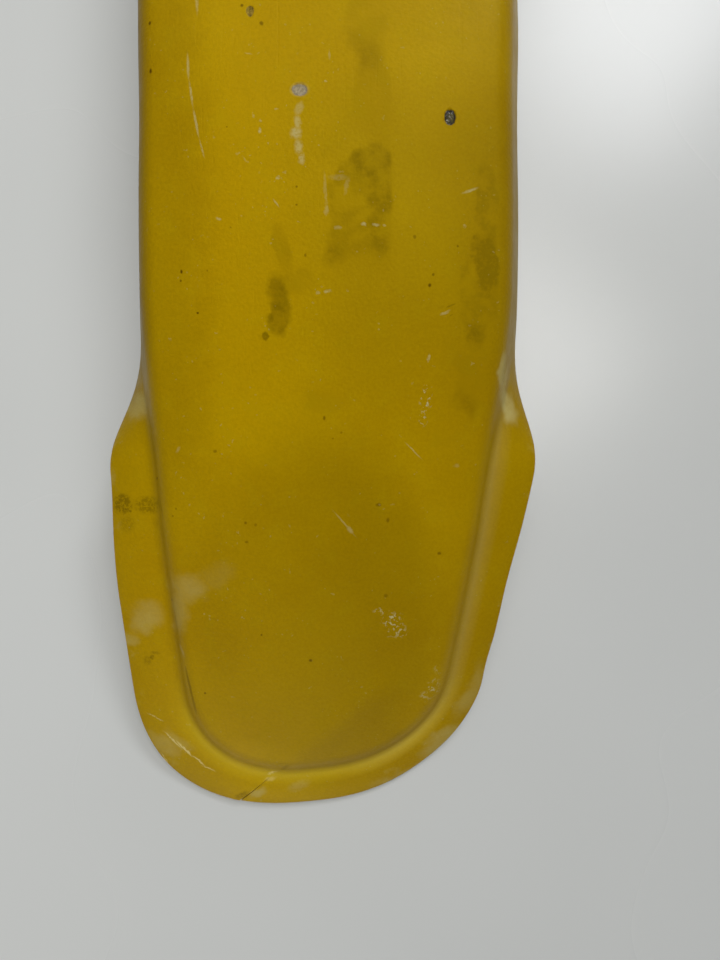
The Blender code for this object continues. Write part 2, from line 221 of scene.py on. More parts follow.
def levelled(points, turn):
    """The lip's points, tilted so that its rim comes to the resting height at an end."""
    short = (REST_Z - points[-1].z) * ease(*LEVEL_SPAN, turn)
    for number in range(LIP_STEPS):
        points[-1 - number].z += short * (1 - number / LIP_STEPS)


def rib_points(end, run, turn, side):
    """One rib of the moulding's top surface, from its middle out to its rim."""
    edge = end.crown_edge(run, turn)
    outward = end.outward(run, turn)
    tip = math.sin(turn * math.pi / 2) ** 2
    middle = Vector((0.0, run + FAN_SHARE * (edge.y - run)))
    at_pad = 1.0 - ease(0.045, 0.120, edge.y)
    camber = mix(CAMBER, PAD_CAMBER, at_pad) * mix(1.0, TIP_CAMBER_SHARE, tip)
    power = mix(CAMBER_POWER, PAD_CAMBER_POWER, at_pad)
    plan = []
    for number in range(CROWN_STEPS + 1):
        share = number / CROWN_STEPS
        plan.append((middle.lerp(edge, share), camber * share**power))
    flat, drop = plan[-1]
    start_angle = math.atan(camber * power / (edge - middle).length)
    for length, angle in section(end, edge.y, turn, start_angle, side):
        flat = flat + outward * (math.cos(angle) * length)
        drop += math.sin(angle) * length
        plan.append((flat, drop))
    points = [Vector((side * p.x, end.sign * p.y, end.arch(p.y) - drop)) for p, drop in plan]
    levelled(points, turn)
    return [set_by_age(point) for point in points]


def side_runs(end):
    """Runs of the ribs along one side, closer together where the skirt turns out."""
    stretches = (
        (0.0, end.flare[0], SIDE_STEP),
        (end.flare[0], end.step[1], FLARE_STEP),
        (end.step[1], end.cap_start, SIDE_STEP),
    )
    runs = [0.0]
    for low, high, step in stretches:
        steps = round((high - low) / step)
        runs += [mix(low, high, (number + 1) / steps) for number in range(steps)]
    return runs


def rib_stations():
    """Every rib of one side as (end, run, turn), from the front tip to the rear tip."""
    halves = []
    for end in (FRONT, REAR):
        half = [(end, run, 0.0) for run in side_runs(end)]
        half += [(end, end.cap_start, (number + 1) / CAP_RIBS) for number in range(CAP_RIBS)]
        halves.append(half)
    front, rear = halves
    return front[:0:-1] + rear


# ======================================================================
# Mesh helpers
# ======================================================================
def new_piece(name, mesh):
    made = bpy.data.objects.new(name, mesh)
    bpy.context.scene.collection.objects.link(made)
    return made


def mesh_of(name, build):
    mesh = bpy.data.meshes.new(name)
    bm = bmesh.new()
    build(bm)
    bm.to_mesh(mesh)
    bm.free()
    return mesh


def joined(name, meshes):
    """One mesh that holds several separate bodies."""

    def build(bm):
        for mesh in meshes:
            bm.from_mesh(mesh)

    return mesh_of(name, build)


def settled(piece, sharp_degrees=35):
    """Replace a piece by its evaluated mesh, shaded smooth with its edges kept sharp."""
    graph = bpy.context.evaluated_depsgraph_get()
    mesh = bpy.data.meshes.new_from_object(piece.evaluated_get(graph))
    mesh.name = piece.name
    piece.modifiers.clear()
    piece.data = mesh
    mesh.shade_smooth()
    mesh.set_sharp_from_angle(angle=math.radians(sharp_degrees))
    return piece


def boolean(target, helper, operation):
    cut = target.modifiers.new(operation.lower(), "BOOLEAN")
    cut.operation = operation
    cut.object = helper
    cut.solver = "EXACT"


def bevel(target, width, segments, degrees=40):
    edge = target.modifiers.new("edge", "BEVEL")
    edge.width = width
    edge.segments = segments
    edge.limit_method = "ANGLE"
    edge.angle_limit = math.radians(degrees)


def close_rings(bm, rings):
    """A closed body through rings of the same number of points, capped at both ends."""
    for first, second in zip(rings, rings[1:]):
        for number, point in enumerate(first):
            other = (number + 1) % len(first)
            bm.faces.new((point, first[other], second[other], second[number]))
    bm.faces.new(rings[0])
    bm.faces.new(rings[-1])
    bmesh.ops.recalc_face_normals(bm, faces=bm.faces)


def rounded_loop(points, radius, steps=4):
    """A closed loop with its corners rounded, each over at most radius of its sides."""
    loop = []
    count = len(points)
    for number, corner in enumerate(points):
        corner = Vector(corner)
        before = Vector(points[number - 1]) - corner
        after = Vector(points[(number + 1) % count]) - corner
        start = corner + before * min(0.45, radius / before.length)
        stop = corner + after * min(0.45, radius / after.length)
        for step in range(steps + 1):
            share = step / steps
            loop.append(start.lerp(corner, share).lerp(corner.lerp(stop, share), share))
    return [tuple(point) for point in loop]


# ======================================================================
# The moulding
# ======================================================================
# damage on the crown and lip, in metres: three chips filled grey, black and brown, and a crack
CHIPS = (
    {"at": (-0.0085, -0.0891), "half": (0.0029, 0.0022), "depth": 0.00045},
    {"at": (0.0427, -0.0976), "half": (0.0021, 0.0028), "depth": 0.00070},
    {"at": (-0.0254, -0.0619), "half": (0.0014, 0.0021), "depth": 0.00040},
)
CHIP_REACH = 0.0042
CRACK = ((-0.0450, -0.3572), (-0.0398, -0.3512), (-0.0331, -0.3458), (-0.0251, -0.3387))
CRACK_WIDTH = 0.00060  # at the rim; it closes towards its end
CRACK_LIFT = 0.00060  # how far one side stands above the other at the rim
CRACK_REACH = 0.0060
RIDGE = ((-0.0251, -0.3387), (0.0290, -0.2900))  # soft fold that runs on from the crack
RIDGE_HEIGHT = 0.00080
RIDGE_HALF_WIDTH = 0.0052
WAVE_HEIGHT = 0.00030  # slow unevenness of an old moulding
WAVE_SCALE = 14.0
RIM_DENT = (-0.2905, 0.0140, 0.0006)  # (y, half-length, depth) in the +X rim


def along_segment(point, start, stop):
    """(share along start-stop, signed distance to its left) of a plan point."""
    run = Vector(stop) - Vector(start)
    offset = Vector(point) - Vector(start)
    share = offset.dot(run) / run.length_squared
    side = (run.x * offset.y - run.y * offset.x) / run.length
    return share, side


def crack_distance(point):
    """Distance to the crack, the share along it from the rim, and the side."""
    best = (1.0, 1.0, 1.0)
    for number, (start, stop) in enumerate(zip(CRACK, CRACK[1:])):
        share, side = along_segment(point, start, stop)
        clamped = min(1.0, max(0.0, share))
        nearest = Vector(start).lerp(Vector(stop), clamped)
        distance = (Vector(point) - nearest).length
        if distance < best[0]:
            best = (distance, (number + clamped) / (len(CRACK) - 1), side)
    return best


def relief(x, y):
    """Height that wear and age add to the designed surface."""
    calm = ease(0.055, 0.100, abs(y))
    height = WAVE_HEIGHT * calm * noise.noise(Vector((x, y, 0.3)) * WAVE_SCALE)
    for chip in CHIPS:
        dx = (x - chip["at"][0]) / chip["half"][0]
        dy = (y - chip["at"][1]) / chip["half"][1]
        radius = math.hypot(dx, dy)
        if radius < 3.0:
            radius *= 1.0 + 0.28 * noise.noise(Vector((x, y, 0.7)) * 900.0)
            rough = 1.0 + 0.5 * noise.noise(Vector((x, y, 0.1)) * 2500.0)
            height -= chip["depth"] * rough * (1.0 - ease(0.72, 1.0, radius))
            height += 0.00008 * max(0.0, 1.0 - abs(radius - 1.12) / 0.22)
    distance, share, side = crack_distance((x, y))
    if distance < CRACK_REACH:
        lift = CRACK_LIFT * (1.0 - share) * (1.0 - ease(0.0, CRACK_REACH, distance))
        height += lift if side > 0 else -0.5 * lift
    share, side = along_segment((x, y), *RIDGE)
    if 0.0 < share < 1.0:
        fade = ease(0.0, 0.15, share) * (1.0 - ease(0.75, 1.0, share))
        height += RIDGE_HEIGHT * fade * math.exp(-((side / RIDGE_HALF_WIDTH) ** 2))
    return height


def rim_dent(point, rim_share):
    """The +X rim near the rear tip has been pushed in a little."""
    y, half, depth = RIM_DENT
    if point.x < 0 or abs(point.y - y) > half:
        return 0.0
    return depth * rim_share * (0.5 + 0.5 * math.cos(math.pi * (point.y - y) / half))


def shell_surface(bm):
    """Loft between fine ribs. Two vertex layers tell the material where the crease and rim are."""
    crease_layer = bm.verts.layers.float.new("crease")
    rim_layer = bm.verts.layers.float.new("rim")
    valley = CROWN_STEPS + SHOULDER_STEPS + WALL_STEPS + FILLET_STEPS // 2 + 1
    last = CROWN_STEPS + SHOULDER_STEPS + WALL_STEPS + FILLET_STEPS + LIP_STEPS
    columns = {+1: [], -1: []}
    for end, run, turn in rib_stations():
        shared = None
        for side in (+1, -1):
            if shared and turn == 1:
                columns[side].append(shared)
                continue
            points = rib_points(end, run, turn, side)
            turned_out = ease(*end.flare, run)
            made = []
            for number, point in enumerate(points):
                if number == 0 and shared:
                    made.append(shared[0])
                    continue
                rim_share = max(0.0, (number - last + LIP_STEPS) / LIP_STEPS)
                point.x -= rim_dent(point, rim_share)
                vert = bm.verts.new(point)
                vert[crease_layer] = turned_out * max(0.0, 1.0 - abs(number - valley) / 4)
                vert[rim_layer] = max(0.0, 1.0 - (last - number) / 2)
                made.append(vert)
            shared = made
            columns[side].append(made)
    for side, ribs in columns.items():
        for ahead, behind in zip(ribs, ribs[1:]):
            for inner in range(len(ahead) - 1):
                corners = (ahead[inner], ahead[inner + 1], behind[inner + 1], behind[inner])
                bm.faces.new(corners if side < 0 else corners[::-1])
    bmesh.ops.recalc_face_normals(bm, faces=bm.faces)
    if bm.faces[0].normal.z < 0:
        bmesh.ops.reverse_faces(bm, faces=bm.faces)
    refine_damage(bm)
    for face in bm.faces:
        face.material_index = zone_of(face.calc_center_median().y)
    for vert in bm.verts:
        vert.co.z += relief(vert.co.x, vert.co.y)


def refine_damage(bm):
    """Cut the faces round the chips and the crack finer, so that they are real shapes."""

    def near_chip(face):
        centre = face.calc_center_median()
        return any((centre.xy - Vector(chip["at"])).length < CHIP_REACH for chip in CHIPS)

    def near_crack(face):
        return crack_distance(face.calc_center_median().xy)[0] < 0.0040

    for near, cuts in ((near_chip, 5), (near_crack, 2)):
        faces = [face for face in bm.faces if near(face)]
        edges = {edge for face in faces for edge in face.edges}
        bmesh.ops.subdivide_edges(bm, edges=list(edges), cuts=cuts, use_grid_fill=True)


# ---- Fixing set, sized as in the CAD ----
PLATE_LOW, PLATE_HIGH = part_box("stiffener_plate")
COLLAR_LOW, COLLAR_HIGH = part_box("collar_1")
GROMMET_LOW, GROMMET_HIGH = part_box("grommet_1")
WASHER_LOW, WASHER_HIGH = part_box("plain_washer_1")
SPRING_LOW, SPRING_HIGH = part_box("spring_washer_1")
BOLT_LOW, BOLT_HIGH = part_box("mount_bolt_1")
HOLE_RADIUS = 0.0070
GAP = 0.0003
GROOVE_GAP = 0.00025
COLLAR_BORE = 0.00325
COLLAR_RADIUS = 0.0045
COLLAR_FLANGE = 0.0015
WASHER_BORE = 0.0032
SPRING_SLIT = 0.0009
SPRING_SLANT = math.radians(28)
SPRING_STEPS = 72
PLATE_CORNER = 0.0090
PLATE_HOLE = 0.0033
SLOT_SIZE = (0.0160, 0.0440)
BOLT_RADIUS = 0.0029
BOLT_STEPS = 48
HEAD_ACROSS_FLATS = 0.0100
HEAD_HEIGHT = 0.0040
THREAD_PITCH = 0.0010
THREAD_ROOT = 0.00245
THREAD_START = 0.0030
THREAD_RINGS = 10
LATHE_STEPS = 64


def half_width(low, high):
    """Radius of a round CAD node, from its box."""
    return (high.x - low.x) / 2


def middle(name):
    """Plan centre of a CAD node."""
    low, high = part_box(name)
    return ((low[0] + high[0]) / 2, (low[1] + high[1]) / 2)


BOLT_PLACES = [middle(f"collar_{number}") for number in (1, 2, 3, 4)]

RIB_X = 0.0460
RIB_HALF_LENGTH = 0.0460
RIB_THICKNESS = 0.0024
RIB_DEPTH = 0.0055
RIB_BITE = 0.0012


def moulded_rib(side):
    """One strengthening rib under the pad, thinner at its free edge, with sloping ends."""

    def build(bm):
        low, high = -WALL - RIB_DEPTH, -WALL + RIB_BITE
        sizes = ((low, 0.38, RIB_HALF_LENGTH - 0.006), (high, 0.5, RIB_HALF_LENGTH))
        rings = []
        for z, half_share, half_length in sizes:
            half = RIB_THICKNESS * half_share
            plan = rounded_loop(
                [(-half, -half_length), (half, -half_length), (half, half_length), (-half, half_length)],
                0.0009,
            )
            rings.append([bm.verts.new((side * RIB_X + x, y, z)) for x, y in plan])
        bm.faces.new(rings[0])
        bm.faces.new(rings[1])
        bmesh.ops.bridge_loops(bm, edges=list(bm.edges))
        bmesh.ops.recalc_face_normals(bm, faces=bm.faces)

    return mesh_of(f"rib_{side:+d}", build)


def drill_mesh(place, radius):
    def build(bm):
        bmesh.ops.create_cone(
            bm,
            cap_ends=True,
            segments=48,
            radius1=radius,
            radius2=radius,
            depth=0.03,
            matrix=Matrix.Translation((*place, 0.0)),
        )

    return mesh_of("drill", build)


def crack_cutter():
    """A thin upright wedge that follows the crack and closes towards its end."""

    def build(bm):
        rings = []
        for number, place in enumerate(CRACK):
            share = number / (len(CRACK) - 1)
            ahead = Vector(CRACK[min(number + 1, len(CRACK) - 1)])
            behind = Vector(CRACK[max(number - 1, 0)])
            run = (ahead - behind).normalized()
            across = Vector((-run.y, run.x)) * (CRACK_WIDTH * (1.0 - share) / 2 + 0.00003)
            left, right = Vector(place) + across, Vector(place) - across
            corners = ((*left, -0.10), (*right, -0.10), (*right, -0.04), (*left, -0.04))
            rings.append([bm.verts.new(corner) for corner in corners])
        close_rings(bm, rings)

    return mesh_of("crack", build)


def build_moulding(outer_finishes, inner_finish):
    shell = new_piece("mudguard_moulding", mesh_of("mudguard_moulding", shell_surface))
    for finish in (*outer_finishes, inner_finish):
        shell.data.materials.append(finish)
    thick = shell.modifiers.new("wall", "SOLIDIFY")
    thick.thickness = WALL
    thick.offset = -1.0
    thick.use_even_offset = True
    thick.material_offset = len(outer_finishes)
    bevel(shell, 0.0007, 3, 60)
    ribs = joined("ribs", [moulded_rib(-1), moulded_rib(1)])
    ribs.materials.append(inner_finish)
    helpers = [new_piece("ribs", ribs)]
    cuts = [drill_mesh(place, HOLE_RADIUS) for place in BOLT_PLACES] + [crack_cutter()]
    helpers.append(new_piece("cuts", joined("cuts", cuts)))
    boolean(shell, helpers[0], "UNION")
    boolean(shell, helpers[1], "DIFFERENCE")
    settled(shell, 50)
    for helper in helpers:
        bpy.data.objects.remove(helper)
    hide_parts("mudguard_shell")
    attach(shell, "root")


# ======================================================================
# The fixing set
# ======================================================================
def add_fixings(name, mesh, finish, slot_name, quarter_turn=0.0):
    """One of the pattern at each bolt place, each turned differently, as fitted by hand."""
    mesh.materials.append(finish)
    for number, (x, y) in enumerate(BOLT_PLACES, start=1):
        piece = new_piece(f"{name}_{number}_fine", mesh)
        piece.location = (x, y, 0.0)
        piece.rotation_euler = (0.0, 0.0, quarter_turn * number)
        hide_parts(f"{name}_{number}")
        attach(piece, "root")


def shaded(mesh, sharp_degrees=35):
    mesh.shade_smooth()
    mesh.set_sharp_from_angle(angle=math.radians(sharp_degrees))
    return mesh


def lathe(name, corners, rounding):
    """A ring turned about +Z from a closed (radius, height) section with rounded corners."""

    def build(bm):
        section_loop = rounded_loop(corners, rounding)
        points = [bm.verts.new((radius, 0.0, height)) for radius, height in section_loop]
        edges = [bm.edges.new(pair) for pair in zip(points, points[1:] + points[:1])]
        geometry = points + edges
        turn = 2 * math.pi
        axis = (0, 0, 1)
        bmesh.ops.spin(bm, geom=geometry, cent=(0, 0, 0), axis=axis, angle=turn, steps=LATHE_STEPS)
        bmesh.ops.remove_doubles(bm, verts=bm.verts, dist=1e-6)
        bmesh.ops.recalc_face_normals(bm, faces=bm.faces)

    return shaded(mesh_of(name, build))


def grommet_mesh():
    """Rubber bush with a groove that holds it in the moulding."""
    top, bottom, outer = GROMMET_HIGH.z, GROMMET_LOW.z, half_width(GROMMET_LOW, GROMMET_HIGH)
    bore = COLLAR_RADIUS + GAP
    neck = HOLE_RADIUS - GAP
    corners = [
        (outer, top),
        (outer, GROOVE_GAP),
        (neck, GROOVE_GAP),
        (neck, -WALL - GROOVE_GAP),
        (outer, -WALL - GROOVE_GAP),
        (outer, bottom),
        (bore, bottom),
        (bore, top),
    ]
    return lathe("grommet", corners, 0.0007)


def collar_mesh():
    """Flanged steel sleeve that takes the bolt's clamping load inside the rubber."""
    top, bottom, outer = COLLAR_HIGH.z, COLLAR_LOW.z, half_width(COLLAR_LOW, COLLAR_HIGH)
    corners = [
        (outer, top),
        (outer, top - COLLAR_FLANGE),
        (COLLAR_RADIUS, top - COLLAR_FLANGE),
        (COLLAR_RADIUS, bottom),
        (COLLAR_BORE, bottom),
        (COLLAR_BORE, top),
    ]
    return lathe("collar", corners, 0.00035)


def plain_washer_mesh():
    outer = half_width(WASHER_LOW, WASHER_HIGH)
    corners = [
        (outer, WASHER_HIGH.z),
        (outer, WASHER_LOW.z),
        (WASHER_BORE, WASHER_LOW.z),
        (WASHER_BORE, WASHER_HIGH.z),
    ]
    return lathe("plain_washer", corners, 0.00035)


def spring_washer_mesh():
    """A flattened coil: one turn of square wire whose two ends meet at a slanting slit."""
    low, high = SPRING_LOW.z, SPRING_HIGH.z
    outer = half_width(SPRING_LOW, SPRING_HIGH)
    square = [(outer, high), (outer, low), (WASHER_BORE, low), (WASHER_BORE, high)]
    wire = rounded_loop(square, 0.00025)
    slant = math.tan(SPRING_SLANT)
    open_angle = SPRING_SLIT / outer

    def build(bm):
        rings = []
        for step in range(SPRING_STEPS + 1):
            turn = math.pi / 2 + mix(open_angle, 2 * math.pi - open_angle, step / SPRING_STEPS)
            ring = []
            for radius, height in wire:
                angle = turn + (height - (low + high) / 2) * slant / radius
                ring.append(bm.verts.new((radius * math.cos(angle), radius * math.sin(angle), height)))
            rings.append(ring)
        close_rings(bm, rings)

    return shaded(mesh_of("spring_washer", build))


def hex_radius(angle, corner):
    """Radius of a hexagon with that distance to its corners, by angle."""
    sector = math.radians(60)
    return corner * math.cos(sector / 2) / math.cos((angle % sector) - sector / 2)


def thread_radius(angle, z):
    """Radius of the rolled thread, with flats on its crests and roots."""
    share = (z / THREAD_PITCH - angle / (2 * math.pi)) % 1.0
    tooth = min(1.0, max(0.0, 1.25 * (1.0 - abs(2.0 * share - 1.0)) - 0.12))
    tip = BOLT_HIGH.z - z
    return min(mix(THREAD_ROOT, BOLT_RADIUS, tooth), THREAD_ROOT - 0.0002 + tip)


def bolt_mesh():
    """Hexagon bolt: rings of points from the middle of its head to its threaded tip."""
    low = BOLT_LOW.z
    top = low + HEAD_HEIGHT
    flats = HEAD_ACROSS_FLATS / 2
    corner = flats / math.cos(math.radians(30)) * 0.995

    def head(z):
        """The hexagon, cut by the cone that chamfers its free face and by a slight one on top."""
        cone = min(flats - 0.0003 + (z - low) / 0.55, flats + 0.0004 + (top - z) / 0.35)
        return lambda angle: min(hex_radius(angle, corner), cone)

    rings = [
        (low + 0.00035, lambda angle: 0.0022),
        (low + 0.00030, lambda angle: 0.0026),
        (low, lambda angle: 0.0031),
    ]
    rings += [(low + 0.0001 * step, head(low + 0.0001 * step)) for step in range(9)]
    rings += [(top - 0.0001 * step, head(top - 0.0001 * step)) for step in (4, 3, 2, 1, 0)]
    rings.append((top, lambda angle: BOLT_RADIUS + 0.0004))
    rings.append((top + 0.0004, lambda angle: BOLT_RADIUS))
    rings.append((THREAD_START - THREAD_PITCH, lambda angle: BOLT_RADIUS))
    count = round((BOLT_HIGH.z - THREAD_START) / THREAD_PITCH * THREAD_RINGS)
    for step in range(count + 1):
        z = mix(THREAD_START, BOLT_HIGH.z, step / count)
        rings.append((z, lambda angle, z=z: thread_radius(angle, z)))

    def build(bm):
        made = []
        for z, radius in rings:
            ring = []
            for step in range(BOLT_STEPS):
                angle = 2 * math.pi * step / BOLT_STEPS
                size = radius(angle)
                ring.append(bm.verts.new((size * math.cos(angle), size * math.sin(angle), z)))
            made.append(ring)
        close_rings(bm, made)

    return shaded(mesh_of("mount_bolt", build), 28)


def prism(name, outline, low, high):
    """An upright body over a closed plan outline."""

    def build(bm):
        close_rings(bm, [[bm.verts.new((x, y, z)) for x, y in outline] for z in (low, high)])

    return mesh_of(name, build)


def round_rectangle(half_x, half_y, radius, steps=8):
    """Plan outline of a rectangle with circular corners."""
    outline = []
    for quarter, (sign_x, sign_y) in enumerate(((1, 1), (-1, 1), (-1, -1), (1, -1))):
        for step in range(steps + 1):
            angle = math.radians(90) * (quarter + step / steps)
            x = sign_x * (half_x - radius) + radius * math.cos(angle)
            y = sign_y * (half_y - radius) + radius * math.sin(angle)
            outline.append((x, y))
    return outline


def build_plate(finish):
    """Pressed steel plate with four bolt holes and a slot, its edges rolled by the press."""
    low, high = PLATE_LOW, PLATE_HIGH
    outline = round_rectangle(high.x, high.y, PLATE_CORNER)
    plate = new_piece("stiffener_plate_fine", prism("plate", outline, low.z, high.z))
    slot = round_rectangle(SLOT_SIZE[0] / 2, SLOT_SIZE[1] / 2, SLOT_SIZE[0] * 0.49)
    cuts = [drill_mesh(place, PLATE_HOLE) for place in BOLT_PLACES]
    cuts.append(prism("slot", slot, low.z - 0.01, high.z + 0.01))
    cutter = new_piece("plate_cuts", joined("plate_cuts", cuts))
    boolean(plate, cutter, "DIFFERENCE")
    bevel(plate, 0.0004, 2)
    settled(plate)
    bpy.data.objects.remove(cutter)
    plate.data.materials.clear()
    plate.data.materials.append(finish)
    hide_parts("stiffener_plate")
    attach(plate, "root")


# ======================================================================
# Materials
# ======================================================================
class Paint:
    """The node tree of one material. Each method adds a node and returns its output."""

    def __init__(self, name):
        self.material = bpy.data.materials.new(name)
        self.material.use_nodes = True
        self.tree = self.material.node_tree
        self.shader = self.tree.nodes["Principled BSDF"]
        self.place = self.node("ShaderNodeTexCoord").outputs["Object"]

    def node(self, kind, inputs=(), **settings):
        made = self.tree.nodes.new(kind)
        for key, value in settings.items():
            setattr(made, key, value)
        for key, value in dict(inputs).items():
            self.put(made.inputs[key], value)
        return made

    def put(self, socket, value):
        if isinstance(value, bpy.types.NodeSocket):
            self.tree.links.new(value, socket)
        else:
            socket.default_value = value

    def finish(self, **inputs):
        for name, value in inputs.items():
            self.put(self.shader.inputs[name.replace("_", " ")], value)
        return self.material

    def math(self, operation, a, b=0.0, clamp=False):
        inputs = {0: a, 1: b}
        return self.node("ShaderNodeMath", inputs, operation=operation, use_clamp=clamp).outputs[0]

    def vector(self, operation, a, b=(0, 0, 0)):
        made = self.node("ShaderNodeVectorMath", {0: a, 1: b}, operation=operation)
        return made.outputs["Value" if operation == "LENGTH" else "Vector"]

    def scaled(self, vector, factor):
        made = self.node("ShaderNodeVectorMath", {0: vector, "Scale": factor}, operation="SCALE")
        return made.outputs["Vector"]

    def noise(self, size, detail=3.0, rough=0.55, place=None, output="Fac"):
        """Fractal noise whose largest features are about size metres wide."""
        inputs = {
            "Vector": place or self.place,
            "Scale": 1.0 / size,
            "Detail": detail,
            "Roughness": rough,
        }
        return self.node("ShaderNodeTexNoise", inputs).outputs[output]

    def spangle(self, size):
        """One random number in each of many cells."""
        inputs = {"Vector": self.place, "Scale": 1.0 / size}
        made = self.node("ShaderNodeTexVoronoi", inputs, feature="F1")
        return self.node("ShaderNodeSeparateColor", {0: made.outputs["Color"]}).outputs[0]

    def plan(self, place):
        """The x and y of a place."""
        return self.node("ShaderNodeSeparateXYZ", {0: place}).outputs[:2]

    def between(self, value, low, high, start=0.0, stop=1.0):
        """A smooth step from start, where value is at low, to stop, where it is at high."""
        inputs = {
            "Value": value,
            "From Min": low,
            "From Max": high,
            "To Min": start,
            "To Max": stop,
        }
        made = self.node("ShaderNodeMapRange", inputs, interpolation_type="SMOOTHSTEP")
        return made.outputs["Result"]

    def blend(self, share, a, b, kind="MIX"):
        made = self.node("ShaderNodeMix", data_type="RGBA", blend_type=kind, clamp_factor=True)
        self.put(made.inputs["Factor"], share)
        self.put(made.inputs["A"], colour(a))
        self.put(made.inputs["B"], colour(b))
        return made.outputs["Result"]

    def bump(self, height, distance, strength=1.0, normal=None):
        inputs = {"Height": height, "Distance": distance, "Strength": strength}
        made = self.node("ShaderNodeBump", inputs)
        if normal:
            self.put(made.inputs["Normal"], normal)
        return made.outputs["Normal"]

    def attribute(self, name):
        return self.node("ShaderNodeAttribute", attribute_name=name).outputs["Fac"]

    def spot(self, place, x, y, half_x, half_y, turn=0.0, core=0.3, strength=1.0, after=0.0):
        """strength inside an ellipse seen from above, falling to 0 at its edge. Turn is in
        degrees. Height hardly counts, so after only makes the engine work out that value first."""
        centre = self.node("ShaderNodeCombineXYZ", {0: x, 1: y, 2: after}).outputs[0]
        inputs = {
            "Vector": place,
            "Location": centre,
            "Rotation": (0.0, 0.0, math.radians(turn)),
            "Scale": (half_x, half_y, 1000.0),
        }
        local = self.node("ShaderNodeMapping", inputs, vector_type="TEXTURE").outputs["Vector"]
        return self.between(self.vector("LENGTH", local), 1.0, core, 0.0, strength)

    def most(self, shares):
        """The largest of several shares."""
        total = shares[0]
        for share in shares[1:]:
            total = self.math("MAXIMUM", total, share)
        return total

    def times(self, *shares):
        total = shares[0]
        for share in shares[1:]:
            total = self.math("MULTIPLY", total, share)
        return total


def colour(value):
    """Three numbers become a colour with full alpha; a socket stays as it is."""
    return (*value, 1.0) if isinstance(value, tuple) and len(value) == 3 else value


MM = 0.001
YELLOW = (0.414, 0.255, 0.0006)
YELLOW_DEEP = (0.385, 0.229, 0.0005)
YELLOW_FADED = (0.418, 0.274, 0.0012)
YELLOW_SHEEN = (1.0, 0.80, 0.02, 1.0)
# these two multiply what is under them; the first darkens both for grime and for painted shade
GRIME_AND_SHADE = (0.46, 0.45, 0.55)
DOT_GRIME = (0.22, 0.16, 0.3)
# pale for scuffs and chip rims, and for a painted reflection along the fold on the right
SCUFF_AND_REFLECTION = (0.43, 0.36, 0.15)
# pale for haze and for painted sheen
HAZE_AND_SHEEN = (0.44, 0.37, 0.135)
STRESS = (0.66, 0.55, 0.22)
# a painted highlight along the fold round the tip
FOLD_HIGHLIGHT = (0.85, 0.62, 0.02)
CHIP_GREY = (0.33, 0.28, 0.20)
CHIP_BLACK = (0.022, 0.022, 0.026)
CHIP_BROWN = (0.085, 0.052, 0.012)

# Marks on the moulding, in millimetres: (x, y, half-size across, half-size along, turn, strength)
SMUDGES_AND_SHADE = (
    (19.5, -127.0, 6.0, 22.0, 0, 0.20),
    (16.0, -112.5, 9.0, 7.0, 0, 0.34),
    (-2.0, -146.0, 14.0, 8.0, -22, 0.26),
    (-8.5, -153.4, 9.0, 6.5, -35, 0.38),
    (-16.0, -159.5, 4.8, 13.0, 8, 0.85),
    (-16.7, -166.2, 3.9, 8.1, 14, 0.60),
    (-19.9, -171.5, 1.7, 2.2, 0, 1.00),
    (-14.4, -141.7, 3.6, 12.0, 4, 0.40),
    (16.8, -91.8, 10.5, 24.0, 0, 0.42),
    (14.7, -65.6, 10.0, 21.2, 0, 0.36),
    (6.9, -77.7, 10.3, 17.4, 0, 0.15),
    # painted shade: these four rows make the crown darker along its right edge
    (56.2, -130.0, 7.5, 30.0, 0, 0.80),
    (53.4, -155.5, 11.5, 22.0, 0, 0.75),
    (51.7, -183.0, 12.0, 19.0, 0, 0.58),
    (44.5, -201.8, 13.0, 15.0, 0, 0.34),
    (1.5, -192.5, 11.9, 7.5, 15, 0.34),
    (-27.8, -241.6, 10.9, 9.4, 0, 0.22),
    (35.2, -234.4, 15.0, 30.0, 0, 0.22),
    (-10.5, -279.1, 28.0, 22.0, 0, 0.20),
    (-11.5, -317.0, 34.0, 8.6, 0, 0.26),
)
FLANGE_SMUDGES = (
    (-77.0, -228.2, 6.0, 6.0, 0, 1.15),
    (-67.0, -228.6, 8.5, 5.4, 0, 0.90),
    (-75.4, -235.4, 5.6, 5.6, 0, 0.60),
    (-64.2, -235.3, 2.3, 3.0, 0, 0.45),
    (-74.0, -230.8, 0.8, 0.7, 0, 1.60),
    (-69.7, -287.6, 1.2, 1.3, 0, 1.60),
    (-71.5, -289.2, 2.8, 2.9, -20, 0.60),
    (-68.0, -285.9, 3.2, 1.2, 0, 0.65),
    (63.8, -182.2, 1.8, 4.6, 0, 1.00),
    (-36.4, -346.6, 4.7, 1.8, 26, 0.80),
    (-38.6, -350.6, 3.8, 1.4, -10, 0.80),
)
